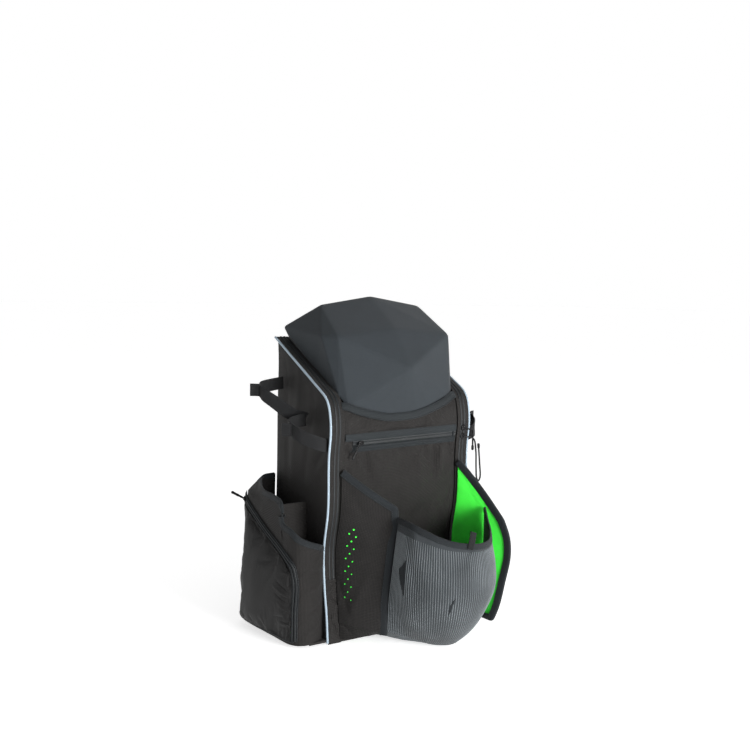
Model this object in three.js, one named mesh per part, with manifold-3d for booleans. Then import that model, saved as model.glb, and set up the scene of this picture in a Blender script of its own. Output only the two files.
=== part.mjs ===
// Sports backpack with side sleeves for bats and a mesh carrier for a helmet.
// Millimetres, +Z up, front toward -Y, origin on the floor under the body.

import * as THREE from 'three';
import { mergeVertices } from 'three/addons/utils/BufferGeometryUtils.js';
import Module from 'manifold-3d';

const wasm = await Module();
wasm.setup();

// Main body
const BODY_WIDTH = 292;
const FRONT_REACH = 121;
const BACK_REACH = 72;
const SHOULDER_HEIGHT = 417;
const BACK_HEIGHT = 508;
const SEAM_WAVE = 17;
const CLOTH = 3;
const GAP = 0.3;
const FLOOR_LIP = 6;
const ZIP_OPENING = 242;

// Moulded lid
const LID_HEIGHT = 587;
const LID_WIDTH = 272;
const LID_NOSE = 136;
const LID_WALL = 4;
const RIM_ENDS_HEIGHT = 411;
const RIM_DROP = 28.5;
const RIM_WIDTH = 12;
const RIM_THICKNESS = 2.5;
const RIM_SEAT = 2.8;

// Zips, piping and pulls
const ZIP_WIDTH = 18;
const ZIP_THICKNESS = 2.2;
const ZIP_START_HEIGHT = 106;
const PIPING_RADIUS = 2.5;
const PIPING_SIDES = 6;
const FRONT_ZIP_HEIGHT = 337;
const FRONT_ZIP_RISE = 10;
const FRONT_ZIP_WIDTH = 26;
const FRONT_ZIP_LENGTH = 236;
const SLIDER_LENGTH = 11;
const SLIDER_WIDTH = 8;
const SLIDER_THICKNESS = 4;
const PULL_RADIUS = 2.2;
const FRONT_PULL_LENGTH = 34;
const POCKET_PULL_LENGTH = 24;
const UPPER_PULL_LENGTH = 40;
const LOWER_PULL_LENGTH = 84;

// Bat sleeves and their zip pockets
const SLEEVE_REACH = 66;
const SLEEVE_FRONT = 122;
const SLEEVE_LENGTH = 194;
const SLEEVE_BASE = 6;
const SLEEVE_WALL = 2.5;
const SLEEVE_TUCK_HEIGHT = 20;
const RIM_FRONT_HEIGHT = 165;
const RIM_BACK_HEIGHT = 262;
const DIVIDER_PLACE = 49;
const DIVIDER_HEIGHT = 236;
const SLEEVE_BINDING_WIDTH = 9;
const SLEEVE_BINDING_THICKNESS = 1.4;
// The pocket covers the outer wall between these shares of the way round the sleeve
const POCKET_FROM = 0.225;
const POCKET_TO = 0.8;
const POCKET_BASE = 14;
const POCKET_FRONT_HEIGHT = 140;
const POCKET_BACK_HEIGHT = 232;
const POCKET_BULGE = 7;
const POCKET_CLOTH = 2;
const POCKET_ZIP_WIDTH = 14;

// Elastic bat straps
const STRAP_WIDTH = 22;
const STRAP_THICKNESS = 2;
const STRAP_REACH_LEFT = 66;
const STRAP_REACH_RIGHT = 34;
const STRAP_FRONT_HEIGHT = 337;
const STRAP_RISE = 93;
const TAB_LENGTH = 17;
const TAB_HEIGHT = 22;
const TAB_THICKNESS = 1.5;

// Helmet carrier
const WING_HINGE = 124;
const WING_THICKNESS = 4.5;
const WING_TOP = 297;
const WING_BASE = 34;
const WING_REACH = 97;
const WING_BULGE = 7;
const BINDING_WIDTH = 9;
const BINDING_THICKNESS = 7;
const BINDING_START = 0.04;
const POUCH_RADIUS = 100;
const POUCH_CENTRE_OUT = 25;
const POUCH_CENTRE_REACH = 200;
const POUCH_HEIGHT = 218;
const POUCH_BASE = 4;
const MESH = 1.5;
const MOUTH_WIDTH = 9;
const MOUTH_THICKNESS = 2.5;
const POUCH_TAB_LENGTH = 30;
const POUCH_TAB_WIDTH = 12;

// Carrying side
const PAD_WIDTH = 210;
const PAD_HEIGHT = 388;
const PAD_BASE = 62;
const PAD_THICKNESS = 10;
const SHOULDER_WIDTH = 66;
const SHOULDER_THICKNESS = 7;
const SHOULDER_PLACE = 62;
const SHOULDER_TOP = 462;
const SHOULDER_END = 205;
const SHOULDER_CLEAR = 12;
const WEBBING_WIDTH = 25;
const WEBBING_THICKNESS = 2;
const WEBBING_FOOT = 34;
const WEBBING_SPREAD = 122;
const ADJUSTER_WIDTH = 34;
const ADJUSTER_LENGTH = 24;
const ADJUSTER_THICKNESS = 4;
const HAUL_SPAN = 48;
const HAUL_RISE = 38;
const HAUL_BASE = 470;

// Derived places
const SIDE = BODY_WIDTH / 2;
const FLANGE = ZIP_OPENING / 2;
const LID_EDGE = FLANGE - GAP;
const ZIP_CENTRE = FLANGE + (SIDE - FLANGE) / 2 - 0.5;
const TOP_SLOPE = (BACK_HEIGHT - SHOULDER_HEIGHT) / (BACK_REACH + FRONT_REACH - SEAM_WAVE);

// Front seam of the side panels: height and dent as shares of SHOULDER_HEIGHT and SEAM_WAVE
const FRONT_SEAM = [
  { up: 0, dent: 0 },
  { up: 0.12, dent: 0.3 },
  { up: 0.23, dent: 0.76 },
  { up: 0.38, dent: 1 },
  { up: 0.55, dent: 0.3 },
  { up: 0.75, dent: 0.3 },
  { up: 0.87, dent: 0 },
  { up: 0.96, dent: 0.35 },
  { up: 1, dent: 1 },
];
const SEAM_STEPS = 24;
const SLEEVE_STEPS = 44;

// Lid corners on one half: out as a share of LID_WIDTH / 2, along as a share of the body depth from the
// back, up as a share of the height from the shoulder to the lid's top
const LID_CORNERS = {
  backMiddle: { out: 0, along: 0.03, up: 0.77 },
  backSide: { out: 1, along: 0.04, up: 0.66 },
  topMiddle: { out: 0, along: 0.44, up: 1 },
  topSide: { out: 0.77, along: 0.44, up: 0.905 },
  waist: { out: 1, along: 0.725, up: 0.588 },
  browMiddle: { out: 0, along: 0.9, up: 0.712 },
  browSide: { out: 0.88, along: 0.87, up: 0.565 },
};
const LID_NOSE_UP = 0.282;

// Rim of the lid on the front: out as a share of the zip opening's half, drop as a share of RIM_DROP
const RIM_LINE = [
  { out: 0, drop: 1 },
  { out: 0.25, drop: 0.95 },
  { out: 0.5, drop: 0.72 },
  { out: 0.75, drop: 0.4 },
  { out: 1, drop: 0 },
];

// Sleeve wall seen from above: out and along as shares of SLEEVE_REACH and SLEEVE_LENGTH, tuck as the
// share of its reach that the rim draws in, rim as a share of the rise between the two rim heights
const SLEEVE_RIM = [
  { out: 0, along: 0.122, tuck: 0, rim: 0 },
  { out: 0.3, along: 0.01, tuck: 0, rim: 0.08 },
  { out: 0.62, along: 0, tuck: 0, rim: 0.16 },
  { out: 0.86, along: 0.03, tuck: 0, rim: 0.25 },
  { out: 0.97, along: 0.1, tuck: 0, rim: 0.36 },
  { out: 1, along: 0.22, tuck: 0, rim: 0.43 },
  { out: 1, along: 0.26, tuck: 0, rim: 0.78 },
  { out: 1, along: 0.6, tuck: 0.02, rim: 0.88 },
  { out: 0.98, along: 0.85, tuck: 0.33, rim: 0.94 },
  { out: 0.8, along: 0.955, tuck: 0.42, rim: 0.97 },
  { out: 0.45, along: 0.985, tuck: 0.3, rim: 0.99 },
  { out: 0, along: 0.99, tuck: 0, rim: 1 },
];

// Strap route round two bats: out as a share of the strap's reach, along as a share of SLEEVE_LENGTH,
// up as a share of STRAP_RISE
const STRAP_ROUTE = [
  { out: 0, along: 0.1, up: 0 },
  { out: 0.005, along: 0.068, up: 0.002 },
  { out: 0.09, along: 0.04, up: 0.02 },
  { out: 0.35, along: 0.025, up: 0.08 },
  { out: 0.68, along: 0.08, up: 0.19 },
  { out: 0.79, along: 0.18, up: 0.28 },
  { out: 0.68, along: 0.29, up: 0.35 },
  { out: 0.32, along: 0.35, up: 0.39 },
  { out: 0.05, along: 0.385, up: 0.41 },
  { out: 0.4, along: 0.42, up: 0.5 },
  { out: 0.84, along: 0.48, up: 0.74 },
  { out: 1, along: 0.58, up: 0.87 },
  { out: 0.86, along: 0.71, up: 0.94 },
  { out: 0.4, along: 0.78, up: 0.98 },
  { out: 0, along: 0.82, up: 1 },
];

// Free edges of the carrier's wings from bottom to top: out from the hinge and reach to the front as
// shares of WING_REACH, up as a share of WING_TOP
const LEFT_WING_EDGE = [
  { out: -0.49, reach: 0.6, up: 0.08 },
  { out: -0.47, reach: 0.6, up: 0.27 },
  { out: -0.52, reach: 0.6, up: 0.43 },
  { out: -0.63, reach: 0.6, up: 0.59 },
  { out: -0.75, reach: 0.58, up: 0.7 },
  { out: -0.77, reach: 0.57, up: 0.785 },
];
const RIGHT_WING_EDGE = [
  { out: 0.28, reach: 0.79, up: 0.045 },
  { out: 0.34, reach: 0.87, up: 0.135 },
  { out: 0.41, reach: 0.93, up: 0.28 },
  { out: 0.48, reach: 0.98, up: 0.44 },
  { out: 0.47, reach: 0.96, up: 0.55 },
  { out: 0.41, reach: 0.86, up: 0.655 },
];

// Rings of the mesh pouch: radius and height as shares of POUCH_RADIUS and POUCH_HEIGHT
const POUCH_RINGS = [
  { radius: 0.55, up: 0.012 },
  { radius: 0.74, up: 0.06 },
  { radius: 0.9, up: 0.18 },
  { radius: 0.985, up: 0.34 },
  { radius: 1, up: 0.48 },
  { radius: 0.96, up: 0.66 },
];
// Mouth of the pouch from the left wing to the right one: turn in degrees, radius and height shares
const POUCH_MOUTH = [
  { turn: 200, radius: 0.84, up: 0.95 },
  { turn: 218, radius: 0.83, up: 0.915 },
  { turn: 240, radius: 0.84, up: 0.865 },
  { turn: 262, radius: 0.85, up: 0.835 },
  { turn: 284, radius: 0.86, up: 0.815 },
  { turn: 306, radius: 0.86, up: 0.81 },
  { turn: 328, radius: 0.88, up: 0.835 },
  { turn: 348, radius: 0.98, up: 0.88 },
  { turn: 371, radius: 1.22, up: 0.985 },
];

const COLOURS = {
  cloth: { color: 0x242424, roughness: 0.85 },
  lid: { color: 0x33373a, roughness: 0.8 },
  tape: { color: 0x2c3236, roughness: 0.75 },
  piping: { color: 0xa9bcc9, roughness: 0.45 },
  mesh: { color: 0x555c61, roughness: 0.8 },
  plastic: { color: 0x17181a, roughness: 0.5 },
};

const pack = new THREE.Group();

function place(name, geometry, finish) {
  const material = new THREE.MeshStandardMaterial({ ...COLOURS[finish], metalness: 0 });
  const mesh = new THREE.Mesh(geometry, material);
  mesh.name = name;
  pack.add(mesh);
  return mesh;
}

// Closed geometry from corner points and triangles, turned so that its faces point out
function closedGeometry(points, triangles) {
  let volume = 0;
  for (const [a, b, c] of triangles) {
    volume += points[a].dot(new THREE.Vector3().crossVectors(points[b], points[c]));
  }
  const order = volume < 0 ? triangles.map(([a, b, c]) => [a, c, b]) : triangles;
  const geometry = new THREE.BufferGeometry();
  const places = points.flatMap((point) => point.toArray());
  geometry.setAttribute('position', new THREE.Float32BufferAttribute(places, 3));
  geometry.setIndex(order.flat());
  return geometry;
}

function mirrored(geometry) {
  const copy = geometry.clone().scale(-1, 1, 1);
  if (!copy.index) copy.setIndex([...Array(copy.attributes.position.count).keys()]);
  const index = copy.index.array;
  for (let i = 0; i < index.length; i += 3) {
    const kept = index[i + 1];
    index[i + 1] = index[i + 2];
    index[i + 2] = kept;
  }
  return copy;
}

function onSide(geometry, side) {
  return side < 0 ? mirrored(geometry) : geometry;
}

function toSolid(geometry) {
  const bare = geometry.clone();
  bare.deleteAttribute('normal');
  bare.deleteAttribute('uv');
  const merged = mergeVertices(bare, 1e-4);
  const mesh = new wasm.Mesh({
    numProp: 3,
    vertProperties: new Float32Array(merged.attributes.position.array),
    triVerts: new Uint32Array(merged.index.array),
  });
  return new wasm.Manifold(mesh);
}

function toGeometry(solid) {
  const mesh = solid.getMesh();
  const geometry = new THREE.BufferGeometry();
  geometry.setAttribute('position', new THREE.BufferAttribute(mesh.vertProperties, 3));
  geometry.setIndex(new THREE.BufferAttribute(mesh.triVerts, 1));
  return geometry;
}

// Padded or plain cloth: a grid of points given a thickness along its own normals
function sheet(grid, thickness) {
  const rows = grid.length;
  const columns = grid[0].length;
  const normals = gridNormals(grid);
  const points = [];
  for (const lift of [0, thickness]) {
    grid.forEach((row, r) => row.forEach((point, c) => {
      points.push(point.clone().addScaledVector(normals[r][c], lift));
    }));
  }
  const at = (layer, r, c) => layer * rows * columns + r * columns + c;
  const triangles = [];
  const quad = (a, b, c, d) => triangles.push([a, b, c], [a, c, d]);
  for (let r = 0; r < rows - 1; r += 1) {
    for (let c = 0; c < columns - 1; c += 1) {
      quad(at(1, r, c), at(1, r, c + 1), at(1, r + 1, c + 1), at(1, r + 1, c));
      quad(at(0, r, c), at(0, r + 1, c), at(0, r + 1, c + 1), at(0, r, c + 1));
    }
  }
  for (let c = 0; c < columns - 1; c += 1) {
    quad(at(0, 0, c), at(0, 0, c + 1), at(1, 0, c + 1), at(1, 0, c));
    quad(at(0, rows - 1, c + 1), at(0, rows - 1, c), at(1, rows - 1, c), at(1, rows - 1, c + 1));
  }
  for (let r = 0; r < rows - 1; r += 1) {
    quad(at(0, r + 1, 0), at(0, r, 0), at(1, r, 0), at(1, r + 1, 0));
    const end = columns - 1;
    quad(at(0, r, end), at(0, r + 1, end), at(1, r + 1, end), at(1, r, end));
  }
  return closedGeometry(points, triangles);
}

function gridNormals(grid) {
  const last = grid.length - 1;
  const end = grid[0].length - 1;
  return grid.map((row, r) => row.map((_, c) => {
    const across = grid[r][Math.min(c + 1, end)].clone().sub(grid[r][Math.max(c - 1, 0)]);
    const up = grid[Math.min(r + 1, last)][c].clone().sub(grid[Math.max(r - 1, 0)][c]);
    return across.cross(up).normalize();
  }));
}

// Solid through a row of rings with the same number of corners
function loft(rings) {
  const corners = rings[0].length;
  const points = rings.flat();
  const triangles = [];
  for (let r = 0; r < rings.length - 1; r += 1) {
    for (let c = 0; c < corners; c += 1) {
      const d = (c + 1) % corners;
      const near = r * corners;
      const far = near + corners;
      triangles.push([near + c, near + d, far + d], [near + c, far + d, far + c]);
    }
  }
  const end = (rings.length - 1) * corners;
  for (let c = 1; c < corners - 1; c += 1) {
    triangles.push([0, c + 1, c], [end, end + c, end + c + 1]);
  }
  return closedGeometry(points, triangles);
}

// Flat tape along a path; faces holds the outward direction at each point
function ribbon(path, faces, width, thickness) {
  const rings = path.map((point, i) => {
    const tangent = path[Math.min(i + 1, path.length - 1)].clone().sub(path[Math.max(i - 1, 0)]);
    const side = new THREE.Vector3().crossVectors(tangent, faces[i]).normalize();
    const face = new THREE.Vector3().crossVectors(side, tangent).normalize();
    const low = point.clone().addScaledVector(side, -width / 2);
    const high = point.clone().addScaledVector(side, width / 2);
    const lift = face.multiplyScalar(thickness);
    return [low, high, high.clone().add(lift), low.clone().add(lift)];
  });
  return loft(rings);
}

function cordAlong(points, radius) {
  const path = new THREE.CatmullRomCurve3(points, false, 'centripetal');
  const section = new THREE.Shape();
  section.absarc(0, 0, radius, 0, 2 * Math.PI, false);
  const steps = Math.max(4, Math.round(path.getLength() / (radius * 4)));
  const shape = new THREE.Shape(section.getPoints(4));
  return new THREE.ExtrudeGeometry(shape, { steps, extrudePath: path });
}

function block(width, depth, height, x, y, z) {
  return new THREE.BoxGeometry(width, depth, height).translate(x, y, z);
}

// Slab across the bag from an outline of (y, z) points
function slab(outline, width) {
  const axes = new THREE.Matrix4().makeBasis(
    new THREE.Vector3(0, 1, 0),
    new THREE.Vector3(0, 0, 1),
    new THREE.Vector3(1, 0, 0),
  );
  const shape = new THREE.Shape(outline);
  const geometry = new THREE.ExtrudeGeometry(shape, { depth: width, bevelEnabled: false });
  return geometry.translate(0, 0, -width / 2).applyMatrix4(axes);
}

// Outline drawn inward by the same distance on every edge
function inset(outline, distance) {
  const count = outline.length;
  return outline.map((point, i) => {
    const before = point.clone().sub(outline[(i + count - 1) % count]).normalize();
    const after = outline[(i + 1) % count].clone().sub(point).normalize();
    const normal = new THREE.Vector2(-before.y - after.y, before.x + after.x).normalize();
    const cosine = normal.dot(new THREE.Vector2(-before.y, before.x));
    return point.clone().addScaledVector(normal, distance / cosine);
  });
}

function mix(from, to, share) {
  return from + (to - from) * share;
}

// Body profile from the side
const seam = new THREE.SplineCurve(FRONT_SEAM.map(({ up, dent }) => (
  new THREE.Vector2(-FRONT_REACH + dent * SEAM_WAVE, up * SHOULDER_HEIGHT)
))).getPoints(SEAM_STEPS);

function frontAt(height) {
  const next = Math.max(1, seam.findIndex((point) => point.y >= height));
  const from = seam[next - 1];
  const to = seam[next];
  return mix(from.x, to.x, (height - from.y) / (to.y - from.y));
}

function topAt(y) {
  return SHOULDER_HEIGHT + (y + FRONT_REACH - SEAM_WAVE) * TOP_SLOPE;
}

function rimHeight(x) {
  const share = Math.abs(x) / FLANGE;
  const next = Math.max(1, RIM_LINE.findIndex(({ out }) => out >= share - 1e-9));
  const from = RIM_LINE[next - 1];
  const to = RIM_LINE[next];
  const drop = mix(from.drop, to.drop, (share - from.out) / (to.out - from.out));
  return RIM_ENDS_HEIGHT - drop * RIM_DROP;
}

function buildBodyShell() {
  const outline = [
    new THREE.Vector2(BACK_REACH, 0),
    new THREE.Vector2(BACK_REACH, BACK_HEIGHT),
    ...seam.slice().reverse(),
  ];
  const outer = toSolid(slab(outline, BODY_WIDTH));
  const inner = toSolid(slab(inset(outline, CLOTH), BODY_WIDTH - 2 * CLOTH));
  const depth = FRONT_REACH + BACK_REACH;
  const opening = toSolid(block(
    ZIP_OPENING, depth, BACK_HEIGHT, 0, BACK_REACH - CLOTH - depth / 2, FLOOR_LIP + BACK_HEIGHT / 2,
  ));
  return toGeometry(outer.subtract(inner).subtract(opening));
}

function buildFrontPanel() {
  const columns = 8;
  const rows = 22;
  const grid = [];
  for (let r = 0; r <= rows; r += 1) {
    const row = [];
    for (let c = 0; c <= columns; c += 1) {
      const x = mix(-LID_EDGE, LID_EDGE, c / columns);
      const z = mix(FLOOR_LIP + GAP, rimHeight(x) - GAP, r / rows);
      row.push(new THREE.Vector3(x, frontAt(z), z));
    }
    grid.push(row);
  }
  return sheet(grid, -CLOTH);
}

function lidPoint(corner, side) {
  const { out, along, up } = corner;
  return new THREE.Vector3(
    side * out * LID_WIDTH / 2,
    BACK_REACH - along * (FRONT_REACH + BACK_REACH),
    mix(SHOULDER_HEIGHT, LID_HEIGHT, up),
  );
}

// Front edge of the lid just above the rim line
function lidRimPoint(share, side) {
  const x = side * share * LID_EDGE;
  const z = rimHeight(x) + 2 * GAP;
  return new THREE.Vector3(x, frontAt(z), z);
}

function lidBasePoint(y, side) {
  return new THREE.Vector3(side * LID_EDGE, y, topAt(y));
}

// Outer corners of the lid with the panels between them, one half and its mirror
function lidFacets() {
  const points = [];
  const panels = [];
  for (const side of [1, -1]) {
    const names = {
      nose: new THREE.Vector3(0, -LID_NOSE, mix(SHOULDER_HEIGHT, LID_HEIGHT, LID_NOSE_UP)),
      rimMiddle: lidRimPoint(0, side),
      rimQuarter: lidRimPoint(0.25, side),
      rimHalf: lidRimPoint(0.5, side),
      rimCheek: lidRimPoint(0.9, side),
      jaw: lidBasePoint(-FRONT_REACH + SEAM_WAVE + CLOTH, side),
      hip: lidBasePoint(-FRONT_REACH * 0.2, side),
      heel: lidBasePoint(BACK_REACH - CLOTH - GAP, side),
      heelMiddle: lidBasePoint(BACK_REACH - CLOTH - GAP, 0),
    };
    for (const [name, corner] of Object.entries(LID_CORNERS)) names[name] = lidPoint(corner, side);
    const facets = [
      ['backMiddle', 'backSide', 'topSide', 'topMiddle'],
      ['backSide', 'waist', 'topSide'],
      ['topMiddle', 'topSide', 'browSide', 'browMiddle'],
      ['topSide', 'waist', 'browSide'],
      ['browMiddle', 'browSide', 'nose'],
      ['nose', 'browSide', 'rimCheek', 'rimHalf'],
      ['nose', 'rimHalf', 'rimQuarter'],
      ['nose', 'rimQuarter', 'rimMiddle'],
      ['browSide', 'waist', 'jaw'],
      ['browSide', 'jaw', 'rimCheek'],
      ['waist', 'hip', 'jaw'],
      ['backSide', 'heel', 'hip', 'waist'],
      ['heelMiddle', 'heel', 'backSide', 'backMiddle'],
    ];
    for (const facet of facets) {
      const corners = facet.map((name) => addPoint(points, names[name]));
      for (let i = 1; i < corners.length - 1; i += 1) {
        const triangle = [corners[0], corners[i], corners[i + 1]];
        panels.push(side < 0 ? triangle : triangle.reverse());
      }
    }
  }
  return { points, panels };
}

function addPoint(points, point) {
  const known = points.findIndex((other) => other.distanceTo(point) < 1e-3);
  if (known >= 0) return known;
  points.push(point);
  return points.length - 1;
}

// Moulded shell: the facets and the same facets moved inward by the wall, joined along their edge
function buildLid() {
  const { points, panels } = lidFacets();
  const normals = points.map(() => new THREE.Vector3());
  const edges = new Map();
  for (const [a, b, c] of panels) {
    const ab = points[b].clone().sub(points[a]);
    const normal = ab.cross(points[c].clone().sub(points[a])).normalize();
    for (const corner of [a, b, c]) normals[corner].add(normal);
    for (const [from, to] of [[a, b], [b, c], [c, a]]) edges.set(`${from},${to}`, [from, to]);
  }
  const inner = points.map((point, i) => point.clone().addScaledVector(normals[i].normalize(), -LID_WALL));
  const count = points.length;
  const triangles = [...panels];
  for (const [a, b, c] of panels) triangles.push([a + count, c + count, b + count]);
  for (const [from, to] of edges.values()) {
    if (!edges.has(`${to},${from}`)) {
      triangles.push([to, from, from + count], [to, from + count, to + count]);
    }
  }
  return closedGeometry([...points, ...inner], triangles);
}

function buildRim() {
  const steps = 20;
  const path = [];
  const faces = [];
  for (let i = 0; i <= steps; i += 1) {
    const x = mix(-LID_EDGE, LID_EDGE, i / steps);
    const z = rimHeight(x);
    const slope = frontAt(z + 2) - frontAt(z - 2);
    const face = new THREE.Vector3(0, -4, slope).normalize();
    path.push(new THREE.Vector3(x, frontAt(z), z).addScaledVector(face, GAP + RIM_SEAT));
    faces.push(face);
  }
  return ribbon(path, faces, RIM_WIDTH, RIM_THICKNESS);
}

// Edge of the side panel from the zip's start up and back over the slanted top
function edgeRoute(startHeight) {
  const route = [new THREE.Vector2(frontAt(startHeight), startHeight)];
  for (const point of seam) {
    if (point.y > startHeight + PIPING_RADIUS) route.push(point.clone());
  }
  const steps = 8;
  const last = route[route.length - 1];
  for (let i = 1; i <= steps; i += 1) {
    const y = mix(last.x, BACK_REACH - CLOTH, i / steps);
    route.push(new THREE.Vector2(y, topAt(y)));
  }
  return route.map((point, i) => {
    const ahead = route[Math.min(i + 1, route.length - 1)];
    const tangent = ahead.clone().sub(route[Math.max(i - 1, 0)]).normalize();
    return { point, normal: new THREE.Vector2(-tangent.y, tangent.x) };
  });
}

function buildMainZip() {
  const route = edgeRoute(ZIP_START_HEIGHT);
  const faces = route.map(({ normal }) => new THREE.Vector3(0, normal.x, normal.y));
  const path = route.map(({ point }, i) => (
    new THREE.Vector3(ZIP_CENTRE, point.x, point.y).addScaledVector(faces[i], GAP)
  ));
  return ribbon(path, faces, ZIP_WIDTH, ZIP_THICKNESS);
}

function buildPiping() {
  const reach = (PIPING_RADIUS + GAP) * Math.SQRT1_2;
  const rings = edgeRoute(PIPING_RADIUS).map(({ point, normal }) => {
    const out = new THREE.Vector3(0, normal.x, normal.y);
    const centre = new THREE.Vector3(SIDE + reach, point.x, point.y).addScaledVector(out, reach);
    const ring = [];
    for (let i = 0; i < PIPING_SIDES; i += 1) {
      const turn = (i + 0.5) * 2 * Math.PI / PIPING_SIDES;
      const corner = centre.clone().addScaledVector(out, PIPING_RADIUS * Math.sin(turn));
      corner.x += PIPING_RADIUS * Math.cos(turn);
      ring.push(corner);
    }
    return ring;
  });
  return loft(rings);
}

function frontZipPoint(x) {
  const z = FRONT_ZIP_HEIGHT + x / FRONT_ZIP_LENGTH * FRONT_ZIP_RISE;
  return new THREE.Vector3(x, frontAt(z), z);
}

function buildFrontZip() {
  const steps = 8;
  const grid = [];
  for (let r = 0; r <= 5; r += 1) {
    const row = [];
    for (let c = 0; c <= steps; c += 1) {
      const middle = frontZipPoint(mix(-FRONT_ZIP_LENGTH / 2, FRONT_ZIP_LENGTH / 2, c / steps));
      const z = middle.z + mix(-FRONT_ZIP_WIDTH / 2, FRONT_ZIP_WIDTH / 2, r / 5);
      row.push(new THREE.Vector3(middle.x, frontAt(z) - 2 * GAP, z));
    }
    grid.push(row);
  }
  return sheet(grid, ZIP_THICKNESS);
}

// Rings of the sleeve's wall: upright from the foot to the waist, then drawn in to the rim
function sleeveRing(tucked, heightOf) {
  const points = SLEEVE_RIM.map(({ out, along, tuck, rim }) => new THREE.Vector3(
    SIDE + GAP + out * (tucked ? 1 - tuck : 1) * SLEEVE_REACH,
    -SLEEVE_FRONT + along * SLEEVE_LENGTH,
    heightOf(mix(RIM_FRONT_HEIGHT, RIM_BACK_HEIGHT, rim)),
  ));
  return new THREE.CatmullRomCurve3(points, false, 'centripetal').getPoints(SLEEVE_STEPS);
}

const sleeveFoot = sleeveRing(false, () => SLEEVE_BASE);
const sleeveWaist = sleeveRing(false, (rim) => rim - SLEEVE_TUCK_HEIGHT);
const sleeveRim = sleeveRing(true, (rim) => rim);
const footCurve = new THREE.CatmullRomCurve3(sleeveFoot);

// Column through rings of points that run the same way round, closed below and above
function column(rings) {
  const count = rings[0].length;
  const triangles = [];
  const end = (rings.length - 1) * count;
  const outline = rings[0].map(({ x, y }) => new THREE.Vector2(x, y));
  for (const [a, b, c] of THREE.ShapeUtils.triangulateShape(outline, [])) {
    triangles.push([a, c, b], [a + end, b + end, c + end]);
  }
  for (let r = 0; r < end; r += count) {
    for (let i = r; i < r + count; i += 1) {
      const j = i + 1 < r + count ? i + 1 : r;
      triangles.push([i, j, j + count], [i, j + count, i + count]);
    }
  }
  return closedGeometry(rings.flat(), triangles);
}

// The same ring moved in by the sleeve's wall, with its ends past the wall on the body's side
function hollowRing(ring, lift) {
  const inner = inset(ring.map(({ x, y }) => new THREE.Vector2(x, y)), SLEEVE_WALL);
  inner[0].x = SIDE - SLEEVE_WALL;
  inner[inner.length - 1].x = SIDE - SLEEVE_WALL;
  return inner.map(({ x, y }, i) => new THREE.Vector3(x, y, ring[i].z + lift));
}

function buildSleeve() {
  const outer = toSolid(column([sleeveFoot, sleeveWaist, sleeveRim]));
  const hollow = toSolid(column([
    hollowRing(sleeveFoot, SLEEVE_WALL),
    hollowRing(sleeveWaist, 0),
    hollowRing(sleeveRim, SLEEVE_WALL),
  ]));
  const divider = toSolid(block(
    SLEEVE_REACH * 2, SLEEVE_WALL, DIVIDER_HEIGHT, SIDE + SLEEVE_REACH, -DIVIDER_PLACE, DIVIDER_HEIGHT / 2,
  ));
  return toGeometry(outer.subtract(hollow.subtract(divider)));
}

function buildSleeveBinding() {
  const ends = SLEEVE_STEPS - 1;
  const path = [];
  const faces = [];
  for (let i = 2; i <= ends; i += 1) {
    const tangent = sleeveRim[i + 1 > SLEEVE_STEPS ? i : i + 1].clone().sub(sleeveRim[i - 1]);
    const down = sleeveWaist[i].clone().sub(sleeveRim[i]).normalize();
    const face = down.clone().cross(tangent).normalize();
    faces.push(face);
    const middle = sleeveRim[i].clone().addScaledVector(down, SLEEVE_BINDING_WIDTH / 2);
    path.push(middle.addScaledVector(face, 2.5 * GAP));
  }
  return ribbon(path, faces, SLEEVE_BINDING_WIDTH, SLEEVE_BINDING_THICKNESS);
}

// Place on the sleeve's upright outer wall: share of the way round it, height and distance off it
function wallPoint(share, height, lift) {
  const point = footCurve.getPointAt(share).setZ(height);
  const tangent = footCurve.getTangentAt(share);
  const face = new THREE.Vector3(tangent.y, -tangent.x, 0).normalize();
  return { point: point.addScaledVector(face, lift), face };
}

function pocketTop(share) {
  const along = (share - POCKET_FROM) / (POCKET_TO - POCKET_FROM);
  return mix(POCKET_FRONT_HEIGHT, POCKET_BACK_HEIGHT, along);
}

function buildPocketPanel() {
  const columns = 13;
  const rows = 8;
  const margin = (POCKET_ZIP_WIDTH / 2 + GAP) / footCurve.getLength();
  const grid = [];
  for (let r = 0; r <= rows; r += 1) {
    const row = [];
    for (let c = 0; c <= columns; c += 1) {
      const u = c / columns;
      const v = r / rows;
      const share = mix(POCKET_FROM + margin, POCKET_TO, u);
      const top = pocketTop(share) - POCKET_ZIP_WIDTH * 0.62;
      const rounding = Math.max(0, 0.12 - u) * Math.max(0, v - 0.75) * 400;
      const bulge = POCKET_BULGE * Math.sqrt(Math.sin(Math.PI * u) * Math.sin(Math.PI * v));
      row.push(wallPoint(share, mix(POCKET_BASE, top - rounding, v), 2 * GAP + bulge).point);
    }
    grid.push(row);
  }
  return sheet(grid, POCKET_CLOTH);
}

function pocketZipRoute() {
  const turnHeight = POCKET_FRONT_HEIGHT * 0.86;
  const legs = [
    new THREE.Vector3(POCKET_FROM, POCKET_BASE, 0),
    new THREE.Vector3(POCKET_FROM, turnHeight * 0.5, 0),
    new THREE.Vector3(POCKET_FROM, turnHeight, 0),
    new THREE.Vector3(POCKET_FROM + 0.04, pocketTop(POCKET_FROM + 0.04), 0),
    new THREE.Vector3(mix(POCKET_FROM, POCKET_TO, 0.5), pocketTop(mix(POCKET_FROM, POCKET_TO, 0.5)), 0),
    new THREE.Vector3(POCKET_TO, pocketTop(POCKET_TO), 0),
  ];
  return new THREE.CatmullRomCurve3(legs, false, 'centripetal').getPoints(56);
}

function buildPocketZip() {
  const places = pocketZipRoute().map(({ x, y }) => wallPoint(x, y, 2 * GAP));
  const path = places.map(({ point }) => point);
  const faces = places.map(({ face }) => face);
  return ribbon(path, faces, POCKET_ZIP_WIDTH, ZIP_THICKNESS);
}

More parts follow.
